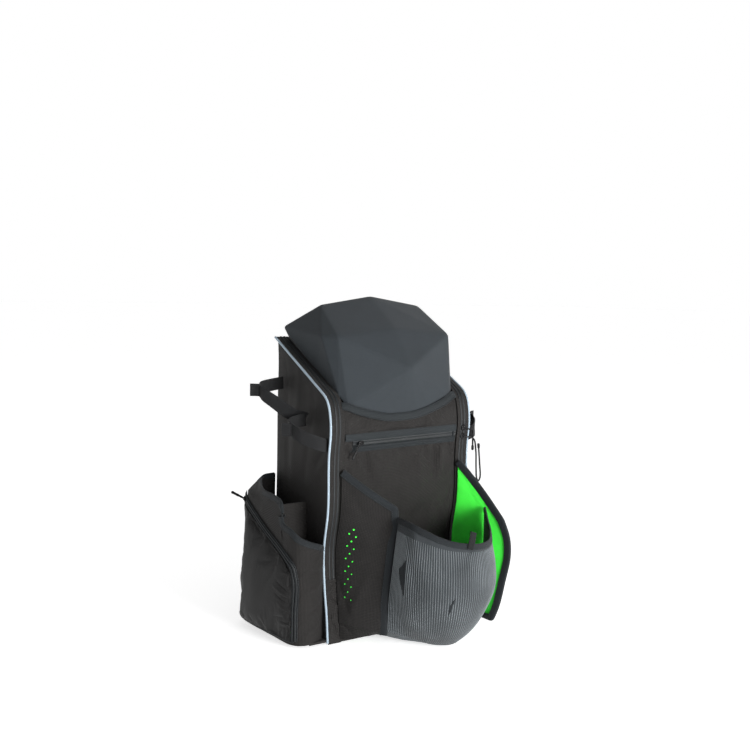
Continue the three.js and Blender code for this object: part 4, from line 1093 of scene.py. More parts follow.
@dataclass
class MainBody:
    """Side, back and base panels, the strips under the zips and the zipped front."""

    shape: BodyShape
    cloth: float = 2.6
    corner: float = 14.0
    base_corner: float = 7.0
    bulge: float = 2.5

    def side_grid(self) -> Array:
        """Grid of the right side panel with its rounded rear and lower edges."""
        shape = self.shape
        rows, columns, turns = 130, 64, 8
        path, _ = shape.route(0, 300)
        keep = path[: int(np.argmax(path[:, 1] >= shape.shoulder_height)) + 6]
        front = resample(keep, rows)
        back = np.stack([np.full(rows, shape.back_reach), np.linspace(0, shape.back_height, rows)], 1)
        grid = np.zeros((rows, columns + turns, 3))
        span = np.linspace(0, 1, columns)
        straight = front[:, None] + (back - front)[:, None] * span[None, :, None] * (
            1 - self.corner / (shape.back_reach + shape.front_reach)
        )
        v = np.linspace(0, 1, rows)[:, None]
        swell = self.bulge * np.sin(np.pi * span)[None] ** 0.8 * np.sin(np.pi * v) ** 0.5
        grid[:, :columns, 0] = shape.side + swell
        grid[:, :columns, 1:] = straight
        turn = np.linspace(0, np.pi / 2, turns + 1)[1:]
        grid[:, columns:, 0] = shape.side - self.corner + self.corner * np.cos(turn)
        grid[:, columns:, 1] = straight[:, -1:, 0] + self.corner * np.sin(turn)
        grid[:, columns:, 2] = straight[:, -1:, 1]
        low = np.clip(self.base_corner - grid[..., 2], 0, self.base_corner)
        inset = self.base_corner - np.sqrt(self.base_corner**2 - low**2)
        lean = np.zeros(columns + turns)
        lean[columns:] = turn
        grid[..., 0] -= inset * np.cos(lean)
        grid[..., 1] -= inset * np.sin(lean)
        return grid

    def build_sides(self) -> None:
        """Side panels."""
        grid = self.side_grid()
        folds = [
            Fold((0.03, 0.78), (0.2, 0.68), 5, -1.6),
            Fold((0.02, 0.72), (0.16, 0.66), 4, 1.3),
            Fold((0.25, 0.95), (0.4, 0.6), 9, -1.4),
            Fold((0.5, 0.97), (0.62, 0.62), 10, 1.2),
            Fold((0.75, 0.95), (0.7, 0.55), 9, -1.2),
        ]
        lift = relief(grid, folds) + 0.5 * ripple(grid, 70, 3)
        lift *= np.minimum(1, np.linspace(0, 12, grid.shape[1]))[None]
        for word, side in SIDES:
            piece = Draft().add_sheet(grid, -self.cloth, lift).object(f"side_panel_{word}", CLOTH, side)
            dress(piece, CLOTH, "body_shell")

    def build_back(self) -> None:
        """Back panel and base."""
        shape = self.shape
        half = shape.side - self.corner
        x, z = np.meshgrid(np.linspace(half, -half, 60), np.linspace(0, shape.back_height, 110))
        low = np.clip(self.base_corner - z, 0, self.base_corner)
        y = shape.back_reach - self.base_corner + np.sqrt(self.base_corner**2 - low**2)
        grid = np.stack([x, y, z], -1)
        piece = Draft().add_sheet(grid, -self.cloth, 0.5 * ripple(grid, 90, 5)).object("back_panel", CLOTH)
        dress(piece, CLOTH, "body_shell")
        x = np.linspace(half + 8, -half - 8, 60)
        seam = np.column_stack([x, np.full(60, shape.back_reach - 1.5), np.full(60, shape.back_height - 0.5)])
        outs = np.broadcast_to(np.array([0, 0.25, 1.0]), seam.shape)
        edge = Draft().add_band(seam, outs, wrap_section(9.0, 2.6, 1.0)[:, ::-1])
        dress(edge.object("back_top_binding", BINDING, crease=60), BINDING)
        reach = shape.side - self.base_corner
        share = np.linspace(0, 1, 40)
        near = float(shape.front_at(2))
        y = mix(near, shape.back_reach - self.base_corner, share)
        x, y = np.meshgrid(np.linspace(-reach, reach, 40), y)
        grid = np.stack([x, y, np.zeros_like(x)], -1)
        piece = Draft().add_sheet(grid, self.cloth).object("base_panel", CLOTH)
        dress(piece, CLOTH, "body_shell")

    def build_strips(self) -> None:
        """Cloth strips that carry the main zips, with the folded patch below each zip."""
        shape = self.shape
        path, _ = shape.route(0, 260)
        across = np.linspace(shape.flange + GAP, shape.side, 14)
        grid = np.zeros((len(path), len(across), 3))
        grid[..., 0] = across
        grid[..., 1:] = path[:, None]
        patch = [
            Fold((0.2, 0.02), (0.75, 0.075), 3.4, 3.2),
            Fold((0.8, 0.03), (0.3, 0.1), 3.0, -3.0),
            Fold((0.2, 0.11), (0.7, 0.13), 3.0, 2.8),
            Fold((0.9, 0.135), (0.2, 0.155), 2.6, -2.6),
        ]
        lift = relief(grid, patch)
        edge = np.minimum(1, np.minimum(across - shape.flange, shape.side - across) / 3)
        lift *= edge[None] * (grid[..., 2] < 100)
        for word, side in SIDES:
            piece = Draft().add_sheet(grid, self.cloth, -lift).object(f"zip_strip_{word}", CLOTH, side)
            dress(piece, CLOTH, "body_shell")

    def build_front(self) -> None:
        """Front panel with soft folds under its zip."""
        shape = self.shape
        half = shape.flange - GAP
        columns, rows = 110, 150
        x = np.linspace(-half, half, columns)
        v = np.linspace(0, 1, rows)[:, None]
        z = 0.4 + (shape.rim_height(x)[None] - 1.0) * v
        grid = np.stack([np.broadcast_to(x, z.shape), shape.front_at(z), z], -1)
        rows = [
            ((-73, 322), (-68, 272), 7, -4.2), ((-92, 322), (-86, 285), 6, 2.4), ((-50, 320), (-22, 285), 13, 3.0),
            ((0, 322), (12, 262), 9, -2.2), ((34, 322), (40, 255), 12, 2.4), ((70, 322), (72, 262), 6.5, -4.0),
            ((86, 322), (87, 268), 6, 3.2), ((101, 324), (111, 290), 5, -4.0), ((112, 300), (114, 262), 5, 2.0),
            ((-112, 342), (-100, 330), 3, 2.6), ((-116, 333), (-98, 322), 2.6, -2.4), ((-114, 322), (-96, 314), 3.2, 2.6),
            ((-116, 312), (-100, 303), 4, -2.2), ((-60, 376), (50, 371), 12, 1.4),
        ]
        tall = float(shape.rim_height(0))
        folds = [
            Fold(((a[0] + half) / (2 * half), a[1] / tall), ((b[0] + half) / (2 * half), b[1] / tall), width, height)
            for a, b, width, height in rows
        ]
        clear = np.clip((np.abs(z - shape.front_zip_at(x)[None] - 1) - 15) / 5, 0, 1)
        clear = np.maximum(clear, (x[None] < -102) * (z < 344))
        edge = np.clip((half - np.abs(x)) / 6, 0, 1)[None] * np.clip(v * 40, 0, 1) * np.clip((1 - v) * 40, 0, 1)
        swell = 2.5 * np.sin(np.pi * np.clip(v / 0.8, 0, 1)) * np.sin(np.pi * (x[None] + half) / (2 * half))
        lift = (relief(grid, folds) + swell + 0.4 * ripple(grid, 45, 11)) * edge * clear
        still = grid + grid_normals(grid) * lift[..., None]
        moved = settle(still, Settling(0.02, 0.6, 3.5))
        grid = mix(still, moved, (clear * edge)[..., None])
        piece = Draft().add_sheet(grid, -self.cloth).object("front_cloth", CLOTH)
        dress(piece, CLOTH, "front_panel")

    def build_piping(self) -> None:
        """Pale piping along both side seams."""
        shape = self.shape
        path, normals = shape.route(2.5, 320)
        radius = 2.0
        reach = (radius + GAP) * math.sqrt(0.5)
        middle = np.column_stack([np.full(len(path), shape.side + reach), path + normals * reach])
        outs = np.column_stack([np.full(len(path), 0.7), normals * 0.7])
        for word, side in SIDES:
            piece = Draft().add_band(middle, outs, tube_section(radius, 12)).object(f"piping_cord_{word}", PIPING, side)
            dress(piece, PIPING, f"piping_{word}")

    def build_main_zips(self) -> None:
        """Main zips with their covered coils, stitches and end seams."""
        shape = self.shape
        path, normals = shape.route(106, 300)
        outs = np.column_stack([np.zeros(len(path)), normals])
        middle = np.column_stack([np.full(len(path), shape.zip_centre), path]) + outs * GAP
        for word, side in SIDES:
            draft = Draft().add_band(middle, outs, zip_section(21, 3.4, 1.4))
            dress(draft.object(f"main_zip_band_{word}", ZIP, side, 40), ZIP, f"main_zip_{word}")
            rows = []
            for across in (-9.2, 9.2):
                seam = middle + outs * 0.85
                seam = seam + np.array([across, 0, 0])
                rows.append(mirror_path(resample(seam, 900), side))
            dress(stitches(f"main_zip_stitches_{word}", rows, STITCH), STITCH)
            x = np.linspace(shape.flange + 1, shape.side - 1, 24)
            seam = np.column_stack([x, np.full(24, float(shape.front_at(105)) - 0.6), np.full(24, 105.0)])
            outward = np.broadcast_to(np.array([0, -1.0, -0.05]), seam.shape)
            tack = Draft().add_band(seam, outward, tape_section(8.0, 3.0, 1.2))
            dress(tack.object(f"main_zip_end_seam_{word}", CLOTH, side), CLOTH)
            groove = mirror_path(resample(middle + outs * 0.7, 900), side)
            teeth = stitches(f"main_zip_teeth_{word}", [groove], BINDING, 1.6, 0.42)
            dress(teeth, BINDING)

    def build(self) -> None:
        """All pieces of the main body."""
        self.build_sides()
        self.build_back()
        self.build_strips()
        self.build_front()
        self.build_piping()
        self.build_main_zips()


@dataclass
class MouldedLid:
    """Faceted lid of moulded foam with its rim tape."""

    shape: BodyShape
    height: float = 587.0
    width: float = 272.0
    nose_reach: float = 143.0
    nose_up: float = 0.282
    wall: float = 4.0
    softness: int = 5
    corners: tuple = (
        ("back_middle", 0, 0.03, 0.77),
        ("back_side", 1, 0.04, 0.66),
        ("top_middle", 0, 0.44, 1),
        ("top_side", 0.77, 0.44, 0.905),
        ("waist", 1, 0.725, 0.588),
        ("brow_middle", 0, 0.855, 0.668),
        ("brow_side", 0.868, 0.855, 0.6),
    )
    facets: tuple = (
        ("back_middle", "back_side", "top_side", "top_middle"),
        ("back_side", "waist", "top_side"),
        ("top_middle", "top_side", "brow_side", "brow_middle"),
        ("top_side", "waist", "brow_side"),
        ("brow_middle", "brow_side", "nose"),
        ("nose", "brow_side", "rim_cheek", "rim_half"),
        ("nose", "rim_half", "rim_quarter"),
        ("nose", "rim_quarter", "rim_middle"),
        ("brow_side", "waist", "jaw"),
        ("brow_side", "jaw", "rim_cheek"),
        ("waist", "hip", "jaw"),
        ("back_side", "heel", "hip", "waist"),
        ("heel_middle", "heel", "back_side", "back_middle"),
    )

    def places(self, side: int) -> dict[str, Array]:
        """Outer corners of one half of the lid by name."""
        shape = self.shape
        edge = shape.flange - GAP
        rise = self.height - shape.shoulder_height
        depth = shape.front_reach + shape.back_reach

        def rim(share: float) -> Array:
            """Place on the front edge."""
            x = side * share * edge
            z = float(shape.rim_height(x)) + 2 * GAP
            return np.array([x, float(shape.front_at(z)), z])

        def base(y: float, share: float = 1.0) -> Array:
            """Place on the slanted top's edge."""
            return np.array([side * edge * share, y, float(shape.top_at(y))])

        rear = shape.back_reach - 3 - GAP
        found = {
            "nose": np.array([0, -self.nose_reach, shape.shoulder_height + rise * self.nose_up]),
            "rim_middle": rim(0),
            "rim_quarter": rim(0.25),
            "rim_half": rim(0.5),
            "rim_cheek": rim(0.9),
            "jaw": base(-shape.front_reach + shape.seam_wave + 3),
            "hip": base(-shape.front_reach * 0.2),
            "heel": base(rear),
            "heel_middle": base(rear, 0),
        }
        for name, out, along, up in self.corners:
            y = shape.back_reach - along * depth
            found[name] = np.array([side * out * self.width / 2, y, shape.shoulder_height + rise * up])
        return found

    def facet_mesh(self) -> tuple[Array, Array]:
        """Corner points and triangles of the whole lid."""
        points: list[Array] = []
        triangles = []
        for side in (1, -1):
            places = self.places(side)
            for facet in self.facets:
                ids = []
                for name in facet:
                    known = [i for i, p in enumerate(points) if np.linalg.norm(p - places[name]) < 1e-3]
                    if not known:
                        points.append(places[name])
                    ids.append(known[0] if known else len(points) - 1)
                for i in range(1, len(ids) - 1):
                    corner = [ids[0], ids[i], ids[i + 1]]
                    triangles.append(corner if side < 0 else corner[::-1])
        return np.array(points), np.array(triangles)

    def rounded(self) -> tuple[Array, Array]:
        """Dense lid surface whose facets meet in soft edges."""
        points, faces = self.facet_mesh()
        for _ in range(5):
            edges = np.sort(np.vstack([faces[:, [0, 1]], faces[:, [1, 2]], faces[:, [2, 0]]]), 1)
            pairs, index = np.unique(edges, axis=0, return_inverse=True)
            middles = index.reshape(3, -1).T + len(points)
            points = np.vstack([points, points[pairs].mean(1)])
            a, b, c = faces.T
            ab, bc, ca = middles.T
            faces = np.vstack(
                [np.stack(t, 1) for t in ((a, ab, ca), (ab, b, bc), (ca, bc, c), (ab, bc, ca))]
            )
        edges = np.sort(np.vstack([faces[:, [0, 1]], faces[:, [1, 2]], faces[:, [2, 0]]]), 1)
        pairs, times = np.unique(edges, axis=0, return_counts=True)
        free = np.ones(len(points), bool)
        free[np.unique(pairs[times == 1])] = False
        ends = np.concatenate([pairs[:, 0], pairs[:, 1]])
        others = np.concatenate([pairs[:, 1], pairs[:, 0]])
        degree = np.bincount(ends, minlength=len(points))[:, None]
        for _ in range(self.softness):
            total = np.stack([np.bincount(ends, points[others, k], len(points)) for k in range(3)], 1)
            points[free] = (0.4 * points + 0.6 * total / degree)[free]
        return points, faces

    def build_shell(self) -> None:
        """Moulded shell with its wall."""
        points, faces = self.rounded()
        mesh = bpy.data.meshes.new("lid_shell")
        mesh.from_pydata((points * MM).tolist(), [], faces.tolist())
        mesh.materials.append(LID_CLOTH.material())
        mesh.shade_smooth()
        piece = bpy.data.objects.new("lid_shell", mesh)
        bpy.context.scene.collection.objects.link(piece)
        wall = piece.modifiers.new("wall", "SOLIDIFY")
        wall.thickness = self.wall * MM
        wall.offset = -1
        apply_modifiers(piece)
        dress(piece, LID_CLOTH, "dome_shell")

    def build_rim(self) -> None:
        """Rim tape between two fine cords."""
        shape = self.shape
        half = shape.flange + 1.5
        x = np.linspace(-half, half, 160)
        z = shape.rim_height(x)
        slope = shape.front_at(z + 2) - shape.front_at(z - 2)
        outs = unit(np.stack([np.zeros_like(x), np.full_like(x, -4), slope], 1))
        stand = 0.6 + 2.4 * np.sin(np.clip((half - np.abs(x)) / 14, 0, 1) * np.pi / 2)
        path = np.stack([x, shape.front_at(z), z], 1) + outs * stand[:, None]
        tape = Draft().add_band(path, outs, tape_section(12, 2.4, 0.8)).object("rim_tape", TAPE)
        dress(tape, TAPE, "dome_rim")
        along = tangents(path)
        across = unit(np.cross(along, outs))
        for word, place in (("upper", 5.9), ("lower", -5.9)):
            cord = path + across * place + outs * 1.0
            piece = Draft().add_band(cord, outs, tube_section(1.1, 8)).object(f"rim_cord_{word}", BINDING)
            dress(piece, BINDING)

    def build(self) -> None:
        """All pieces of the lid."""
        self.build_shell()
        self.build_rim()


def apply_modifiers(piece: bpy.types.Object) -> None:
    """Put the result of a piece's modifiers into its mesh."""
    graph = bpy.context.evaluated_depsgraph_get()
    graph.update()
    mesh = bpy.data.meshes.new_from_object(piece.evaluated_get(graph))
    old = piece.data
    piece.modifiers.clear()
    piece.data = mesh
    mesh.name = piece.name
    bpy.data.meshes.remove(old)


def rounded_plate(width: float, height: float, radius: float, corners: int = 5) -> Array:
    """Outline of a plate with round corners, about its middle."""
    points = []
    for cx, cy, start in ((1, 1, 0), (-1, 1, 1), (-1, -1, 2), (1, -1, 3)):
        for turn in np.linspace(start, start + 1, corners) * np.pi / 2:
            x = cx * (width / 2 - radius) + radius * math.cos(turn)
            points.append((x, cy * (height / 2 - radius) + radius * math.sin(turn)))
    return np.array(points)


def plate(
    centre: Array, across: Array, up: Array, size: tuple[float, float, float], radius: float, soft: float
) -> Draft:
    """Plate with round corners and softened edges.

    Args:
        centre: Its middle.
        across: Direction of its width.
        up: Direction of its height.
        size: Width, height and thickness.
        radius: Radius of its corners.
        soft: How far its edges are softened.

    Returns:
        Draft of the plate.
    """
    across, up = unit(across), unit(up)
    out = unit(np.cross(across, up))
    width, height, depth = size
    layers = [(-depth / 2, soft), (-depth / 2 + soft * 0.3, soft * 0.3), (-depth / 2 + soft, 0)]
    layers += [(-d, i) for d, i in reversed(layers)]
    rings = []
    for place, inset in layers:
        outline = rounded_plate(width - 2 * inset, height - 2 * inset, max(radius - inset, 0.05))
        rings.append(centre + outline[:, :1] * across + outline[:, 1:] * up + out * place)
    points = np.array(rings)
    draft = Draft()
    start = draft.add_points(points)
    rows, columns = points.shape[:2]
    uv = np.zeros((rows, columns + 1, 2))
    uv[:, :, 0] = np.linspace(0, 2 * (width + height), columns + 1) * MM
    uv[:, :, 1] = np.array([[place for place, _ in layers]]).T * MM
    draft.weave_grid(start, rows, columns, uv, True, False)
    flat = [(p @ across * MM, p @ up * MM) for p in points[0]]
    draft.add_face(list(range(start + columns - 1, start - 1, -1)), flat[::-1])
    last = start + (rows - 1) * columns
    draft.add_face(list(range(last, last + columns)), flat)
    return draft


def build_slider(name: str, centre: Array, along: Array, out: Array, node: str) -> None:
    """Zip slider: body plate, crown and the bridge that a pull hangs on.

    Args:
        name: Name of the piece.
        centre: Middle of the slider.
        along: Direction of the zip.
        out: Direction away from the bag.
        node: CAD node that it stands for.
    """
    across = unit(np.cross(out, along))
    draft = plate(centre - out * 0.6, across, along, (7.6, 10.6, 2.4), 2.6, 0.7)
    turn = np.linspace(0, np.pi, 14)[:, None]
    arch = centre + along * (-3.4 * np.cos(turn)) + out * (0.4 + 1.5 * np.sin(turn))
    draft.add_band(arch, np.broadcast_to(across, arch.shape), tube_section(0.85, 8) * [1, 1.5])
    dress(draft.object(name, PLASTIC), PLASTIC, node)


# Front zip and pulls


@dataclass
class FrontZip:
    """Zip across the front under its flap, with slider and pull."""

    shape: BodyShape
    coil: float = 11.0
    flap_top: float = 16.5
    tape_low: float = -15.0
    pleats: float = 16.0
    slider_place: float = -0.37
    pull_length: float = 30.0

    def point(self, x: Array | float, up: float = 0.0) -> Array:
        """Place on the panel below or above the zip's middle."""
        x = np.atleast_1d(x)
        z = self.shape.front_zip_at(x) + up
        return np.stack([x, self.shape.front_at(z), z], -1)

    def build_strip(self, name: str, start: float, low: float, high: float, heights: tuple, finish: Finish) -> None:
        """One long strip of the zip.

        Args:
            name: Name of the piece.
            start: Place of its left end.
            low: Its lower edge, from the zip's middle.
            high: Its upper edge.
            heights: Heights off the panel at even steps from its lower edge.
            finish: Its finish.
        """
        x = np.linspace(start, self.shape.front_zip_length / 2, 140)
        places = np.linspace(low, high, 21)
        level = Spline([(0, h) for h in heights], True).at(np.linspace(0, 1, len(places)))[:, 1]
        grid = np.stack([self.point(x, up) for up in places])
        wave = 0.25 * ripple(grid, 34, 51) * np.sin(np.pi * np.linspace(0, 1, len(places)))[:, None]
        normals = grid_normals(grid)
        draft = Draft().add_sheet(grid + normals * GAP, 0.6, level[:, None] + wave)
        dress(draft.object(name, finish, crease=60), finish, "front_zip")

    def build_band(self) -> None:
        """Flap, covered coil and lower tape, with stitches and end seams."""
        half = self.coil / 2
        left = -self.shape.front_zip_length / 2
        inner = left + self.pleats
        self.build_strip("front_zip_flap", left, half - 0.6, self.flap_top, (1.6, 2.1, 1.9, 1.3, 0.5), TAPE)
        self.build_strip("front_zip_coil", inner, -half, half + 1.0, (0.1, 0.9, 1.1, 0.5, 1.0, 0.8, 0.4), ZIP)
        self.build_strip("front_zip_tape", inner - 4, self.tape_low, -half - 0.3, (0.1, 0.5, 0.9, 0.7), BINDING)
        x = np.linspace(left + 1, -left - 1, 140)
        lift = np.array([0, -1, 0])
        seams = [self.point(x, self.flap_top - 2.4) + lift * 2.0]
        seams.append(self.point(x[14:], self.tape_low + 2.2) + lift * 1.5)
        seams.append(self.point(x[14:], -half - 2.2) + lift * 1.8)
        dress(stitches("front_zip_stitches", [resample(seam, 400) for seam in seams], STITCH, 3.4, 0.25), STITCH)
        edge = self.point(x, self.flap_top + 0.9) + lift * 0.5
        fold = Draft().add_band(edge, np.broadcast_to(lift * 1.0, edge.shape), tube_section(0.9, 8))
        dress(fold.object("front_flap_fold", CLOTH), CLOTH)
        ends = []
        for place in (0.478, 0.47):
            tack = np.stack([self.point(place * self.shape.front_zip_length, up)[0] for up in np.linspace(-4.6, 4.6, 9)])
            ends.append(tack + lift * 2.1)
        dress(threads("front_zip_end_tacks", ends, BINDING, 0.8), BINDING)

    def build_pull(self) -> None:
        """Slider and its corded pull."""
        centre = self.point(self.slider_place * self.shape.front_zip_length)[0] - np.array([0, 5.4, 0])
        out = np.array([0, -1.0, 0])
        build_slider("front_zip_slider", centre, np.array([1.0, 0, 0.04]), out, "front_slider")
        start = centre + np.array([-4.5, -1.4, -0.4])
        lean = np.array([-0.5, -0.05, -0.86])
        build_loop_pull("front_zip_pull", start, lean, out, self.pull_length, "front_pull")

    def build(self) -> None:
        """All pieces of the front zip."""
        self.build_band()
        self.build_pull()


def build_loop_pull(
    name: str, start: Array, down: Array, out: Array, length: float, node: str, stout: float = 1.0
) -> None:
    """Cord loop with a moulded end that hangs from a slider.

    Args:
        name: Name of the piece.
        start: Place on the slider.
        down: Direction that it hangs in.
        out: Direction away from the bag.
        length: Length of the whole pull.
        node: CAD node that it stands for.
        stout: Share of the usual thickness.
    """
    down = unit(down)
    across = unit(np.cross(down, out))
    turn = np.linspace(0, 2 * np.pi, 40, endpoint=False)[:, None]
    loop_length = length * 0.45
    middle = start + down * loop_length / 2
    ring = middle - down * np.cos(turn) * loop_length / 2 + across * np.sin(turn) * 1.7
    draft = Draft().add_band(ring, np.broadcast_to(out, ring.shape), tube_section(0.95 * stout, 8), closed=True)
    grip = length - loop_length + 2
    outline = np.array([(0.0, 1.5), (0.12, 2.1), (0.5, 1.75), (0.85, 2.2), (0.96, 1.9), (1.0, 1.2)])
    path = start + down * (loop_length - 2 + grip * outline[:, :1])
    section = np.stack([tube_section(r * stout, 12) * [1, 0.8] for r in outline[:, 1]])
    draft.add_band(path, np.broadcast_to(out, path.shape), section)
    dress(draft.object(name, PLASTIC, crease=60), PLASTIC, node)


# Bat sleeves with their pockets


@dataclass
class BatSleeve:
    """Open sleeve for two bats with a zip pocket on its outer wall."""

    shape: BodyShape
    reach: float = 66.0
    front: float = 122.0
    length: float = 194.0
    base: float = 6.0
    wall: float = 2.5
    tuck_height: float = 20.0
    rim_front: float = 165.0
    rim_back: float = 262.0
    divider_place: float = 49.0
    divider_height: float = 236.0
    pocket_base: float = 14.0
    pocket_front: float = 140.0
    pocket_back: float = 232.0
    pocket_bulge: float = 7.0
    fullness: float = 11.0
    pocket_zip: float = 14.0
    pocket_from: float = 0.225
    pocket_to: float = 0.8
    pocket_over: float = 0.012
    zip_bend: float = 0.86
    zip_lean: float = 0.04
    rows: tuple = (
        (0, 0.085, 0, 0), (0.3, 0.02, 0, 0.08), (0.62, 0, 0, 0.16), (0.86, 0.03, 0, 0.25), (0.97, 0.1, 0, 0.36),
        (1, 0.22, 0, 0.43), (1, 0.26, 0, 0.78), (1, 0.6, 0.02, 0.88), (0.98, 0.85, 0.33, 0.94),
        (0.8, 0.955, 0.42, 0.97), (0.45, 0.985, 0.3, 0.99), (0, 0.99, 0, 1),
    )

    def ring(self, drop: float | None, tucked: bool, count: int = 180) -> Array:
        """Ring of the wall.

        Args:
            drop: Distance below the rim, or None for the foot.
            tucked: Whether the rim draws in.
            count: Number of points.

        Returns:
            Points from the front end to the rear one.
        """
        points = []
        for out, along, tuck, rim in self.rows:
            reach = out * (1 - tuck if tucked else 1) * self.reach
            height = self.base if drop is None else mix(self.rim_front, self.rim_back, rim) - drop
            points.append((self.shape.side + GAP + reach, -self.front + along * self.length, height))
        return Spline(points).at(np.linspace(0, 1, count))

    def flare(self, share: Array, height: Array) -> Array:
        """Outward fullness of the wall toward its rear foot."""
        rear = np.clip((share - 0.3) / 0.35, 0, 1) * np.clip((0.93 - share) / 0.08, 0, 1)
        low = np.clip(1 - height / self.rim_back, 0, 1)
        foot = np.clip((height - self.base + 4) / 22, 0, 1)
        return self.fullness * rear**2 * (3 - 2 * rear) * low**0.7 * np.sin(foot * np.pi / 2)

    def wall_place(self, share: Array | float, height: Array | float, lift: Array | float) -> Array:
        """Places on the upright outer wall.

        Args:
            share: Share of the way round it.
            height: Height above the floor.
            lift: Distance off the wall.

        Returns:
            One point for each.
        """
        foot = self.ring(None, False, 600)
        shares = arc_shares(foot)
        along = tangents(foot)
        share, height, lift = np.broadcast_arrays(share, height, lift)
        lift = lift + self.flare(share, height)
        x, y = (np.interp(share, shares, foot[:, k]) for k in (0, 1))
        tx, ty = (np.interp(share, shares, along[:, k]) for k in (0, 1))
        return np.stack([x + ty * lift, y - tx * lift, height], -1)

    def wall_out(self, share: Array) -> Array:
        """Outward direction of the wall at shares of the way round it."""
        return unit(self.wall_place(share, 0.0, 1.0) - self.wall_place(share, 0.0, 0.0))

    def pocket_top(self, share: Array | float) -> Array:
        """Height of the pocket's zip at a share of the way round."""
        return mix(self.pocket_front, self.pocket_back, (share - self.pocket_from) / (self.pocket_to - self.pocket_from))

    def build_wall(self, word: str, side: int) -> None:
        """Outer wall, floor and the divider between two bats."""
        foot = self.ring(None, False)
        waist = self.ring(self.tuck_height, False)
        rim = self.ring(0.0, True)
        upright = [mix(foot, waist, share) for share in np.linspace(0, 1, 44)]
        tucked = [mix(waist, rim, share) for share in np.linspace(0, 1, 9)[1:]]
        grid = np.array(upright + tucked)
        folds = [
            Fold((0.05, 0.62), (0.17, 0.5), 3.0, 1.4),
            Fold((0.04, 0.75), (0.18, 0.72), 3.2, -1.5),
            Fold((0.08, 0.85), (0.2, 0.62), 3.0, 1.2),
            Fold((0.05, 0.4), (0.15, 0.3), 3.4, -1.2),
            Fold((0.06, 0.2), (0.16, 0.1), 3.4, 1.2),
            Fold((0.3, 0.92), (0.42, 0.8), 4.0, -1.4),
            Fold((0.5, 0.93), (0.6, 0.86), 4.0, 1.2),
        ]
        lift = relief(grid, folds) + 0.35 * ripple(grid, 40, 21)
        around = arc_shares(foot)[None]
        lift += self.flare(around + 0 * grid[..., 2], grid[..., 2])
        ramp = np.linspace(0, 30, grid.shape[1])
        lift *= np.clip(np.minimum(ramp, np.linspace(30, 0, grid.shape[1])), 0, 1)[None]
        draft = Draft().add_sheet(grid, -self.wall, lift)
        dress(draft.object(f"sleeve_wall_{word}", CLOTH, side), CLOTH, f"bat_sleeve_{word}")
        inner = foot.copy()
        middle = inner.copy()
        middle[:, 0] = self.shape.side + GAP
        floor = np.stack([mix(middle, inner, share) for share in np.linspace(0, 0.985, 14)])
        floor[..., 2] = self.base + 0.4
        dress(Draft().add_sheet(floor, -2.0).object(f"sleeve_floor_{word}", CLOTH, side), CLOTH)
        outer = self.shape.side + self.reach - self.wall - GAP
        heights = np.linspace(self.base + 3, self.divider_height - 4, 30)
        x, z = np.meshgrid(np.linspace(self.shape.side + 2, outer, 18), heights)
        grid = np.stack([x, np.full_like(x, -self.divider_place), z], -1)
        grid[..., 1] += 1.2 * ripple(grid, 80, 8)
        dress(Draft().add_sheet(grid, 1.6).object(f"sleeve_divider_{word}", CLOTH, side), CLOTH)

    def build_binding(self, word: str, side: int) -> None:
        """Binding folded over the sleeve's rim, with its stitches."""
        rim = self.ring(0.0, True, 260)[2:-2]
        waist = self.ring(self.tuck_height, False, 260)[2:-2]
        up = unit(rim - waist)
        along = tangents(rim)
        out = unit(np.cross(along, up))
        middle = rim - out * self.wall / 2
        section = wrap_section(8.5, self.wall, 1.0)[:, ::-1]
        draft = Draft().add_band(middle, up, section)
        dress(draft.object(f"sleeve_rim_binding_{word}", BINDING, side, 60), BINDING, f"sleeve_binding_{word}")
        seam = rim - up * 7.2 + out * 1.35
        dress(stitches(f"sleeve_rim_stitches_{word}", [mirror_path(resample(seam, 500), side)], STITCH), STITCH)

    def zip_places(self) -> tuple[Array, Array]:
        """Shares and heights along the pocket's zip."""
        turn_height = self.pocket_front * self.zip_bend
        lean = self.pocket_from + self.zip_lean
        middle = mix(self.pocket_from, self.pocket_to, 0.5)
        legs = [
            (self.pocket_from, self.pocket_base),
            (self.pocket_from, turn_height * 0.5),
            (self.pocket_from, turn_height),
            (lean, self.pocket_top(lean)),
            (middle, self.pocket_top(middle)),
            (self.pocket_to, self.pocket_top(self.pocket_to)),
        ]
        places = Spline([(s, h, 0) for s, h in legs]).at(np.linspace(0, 1, 240))
        return places[:, 0], places[:, 1]

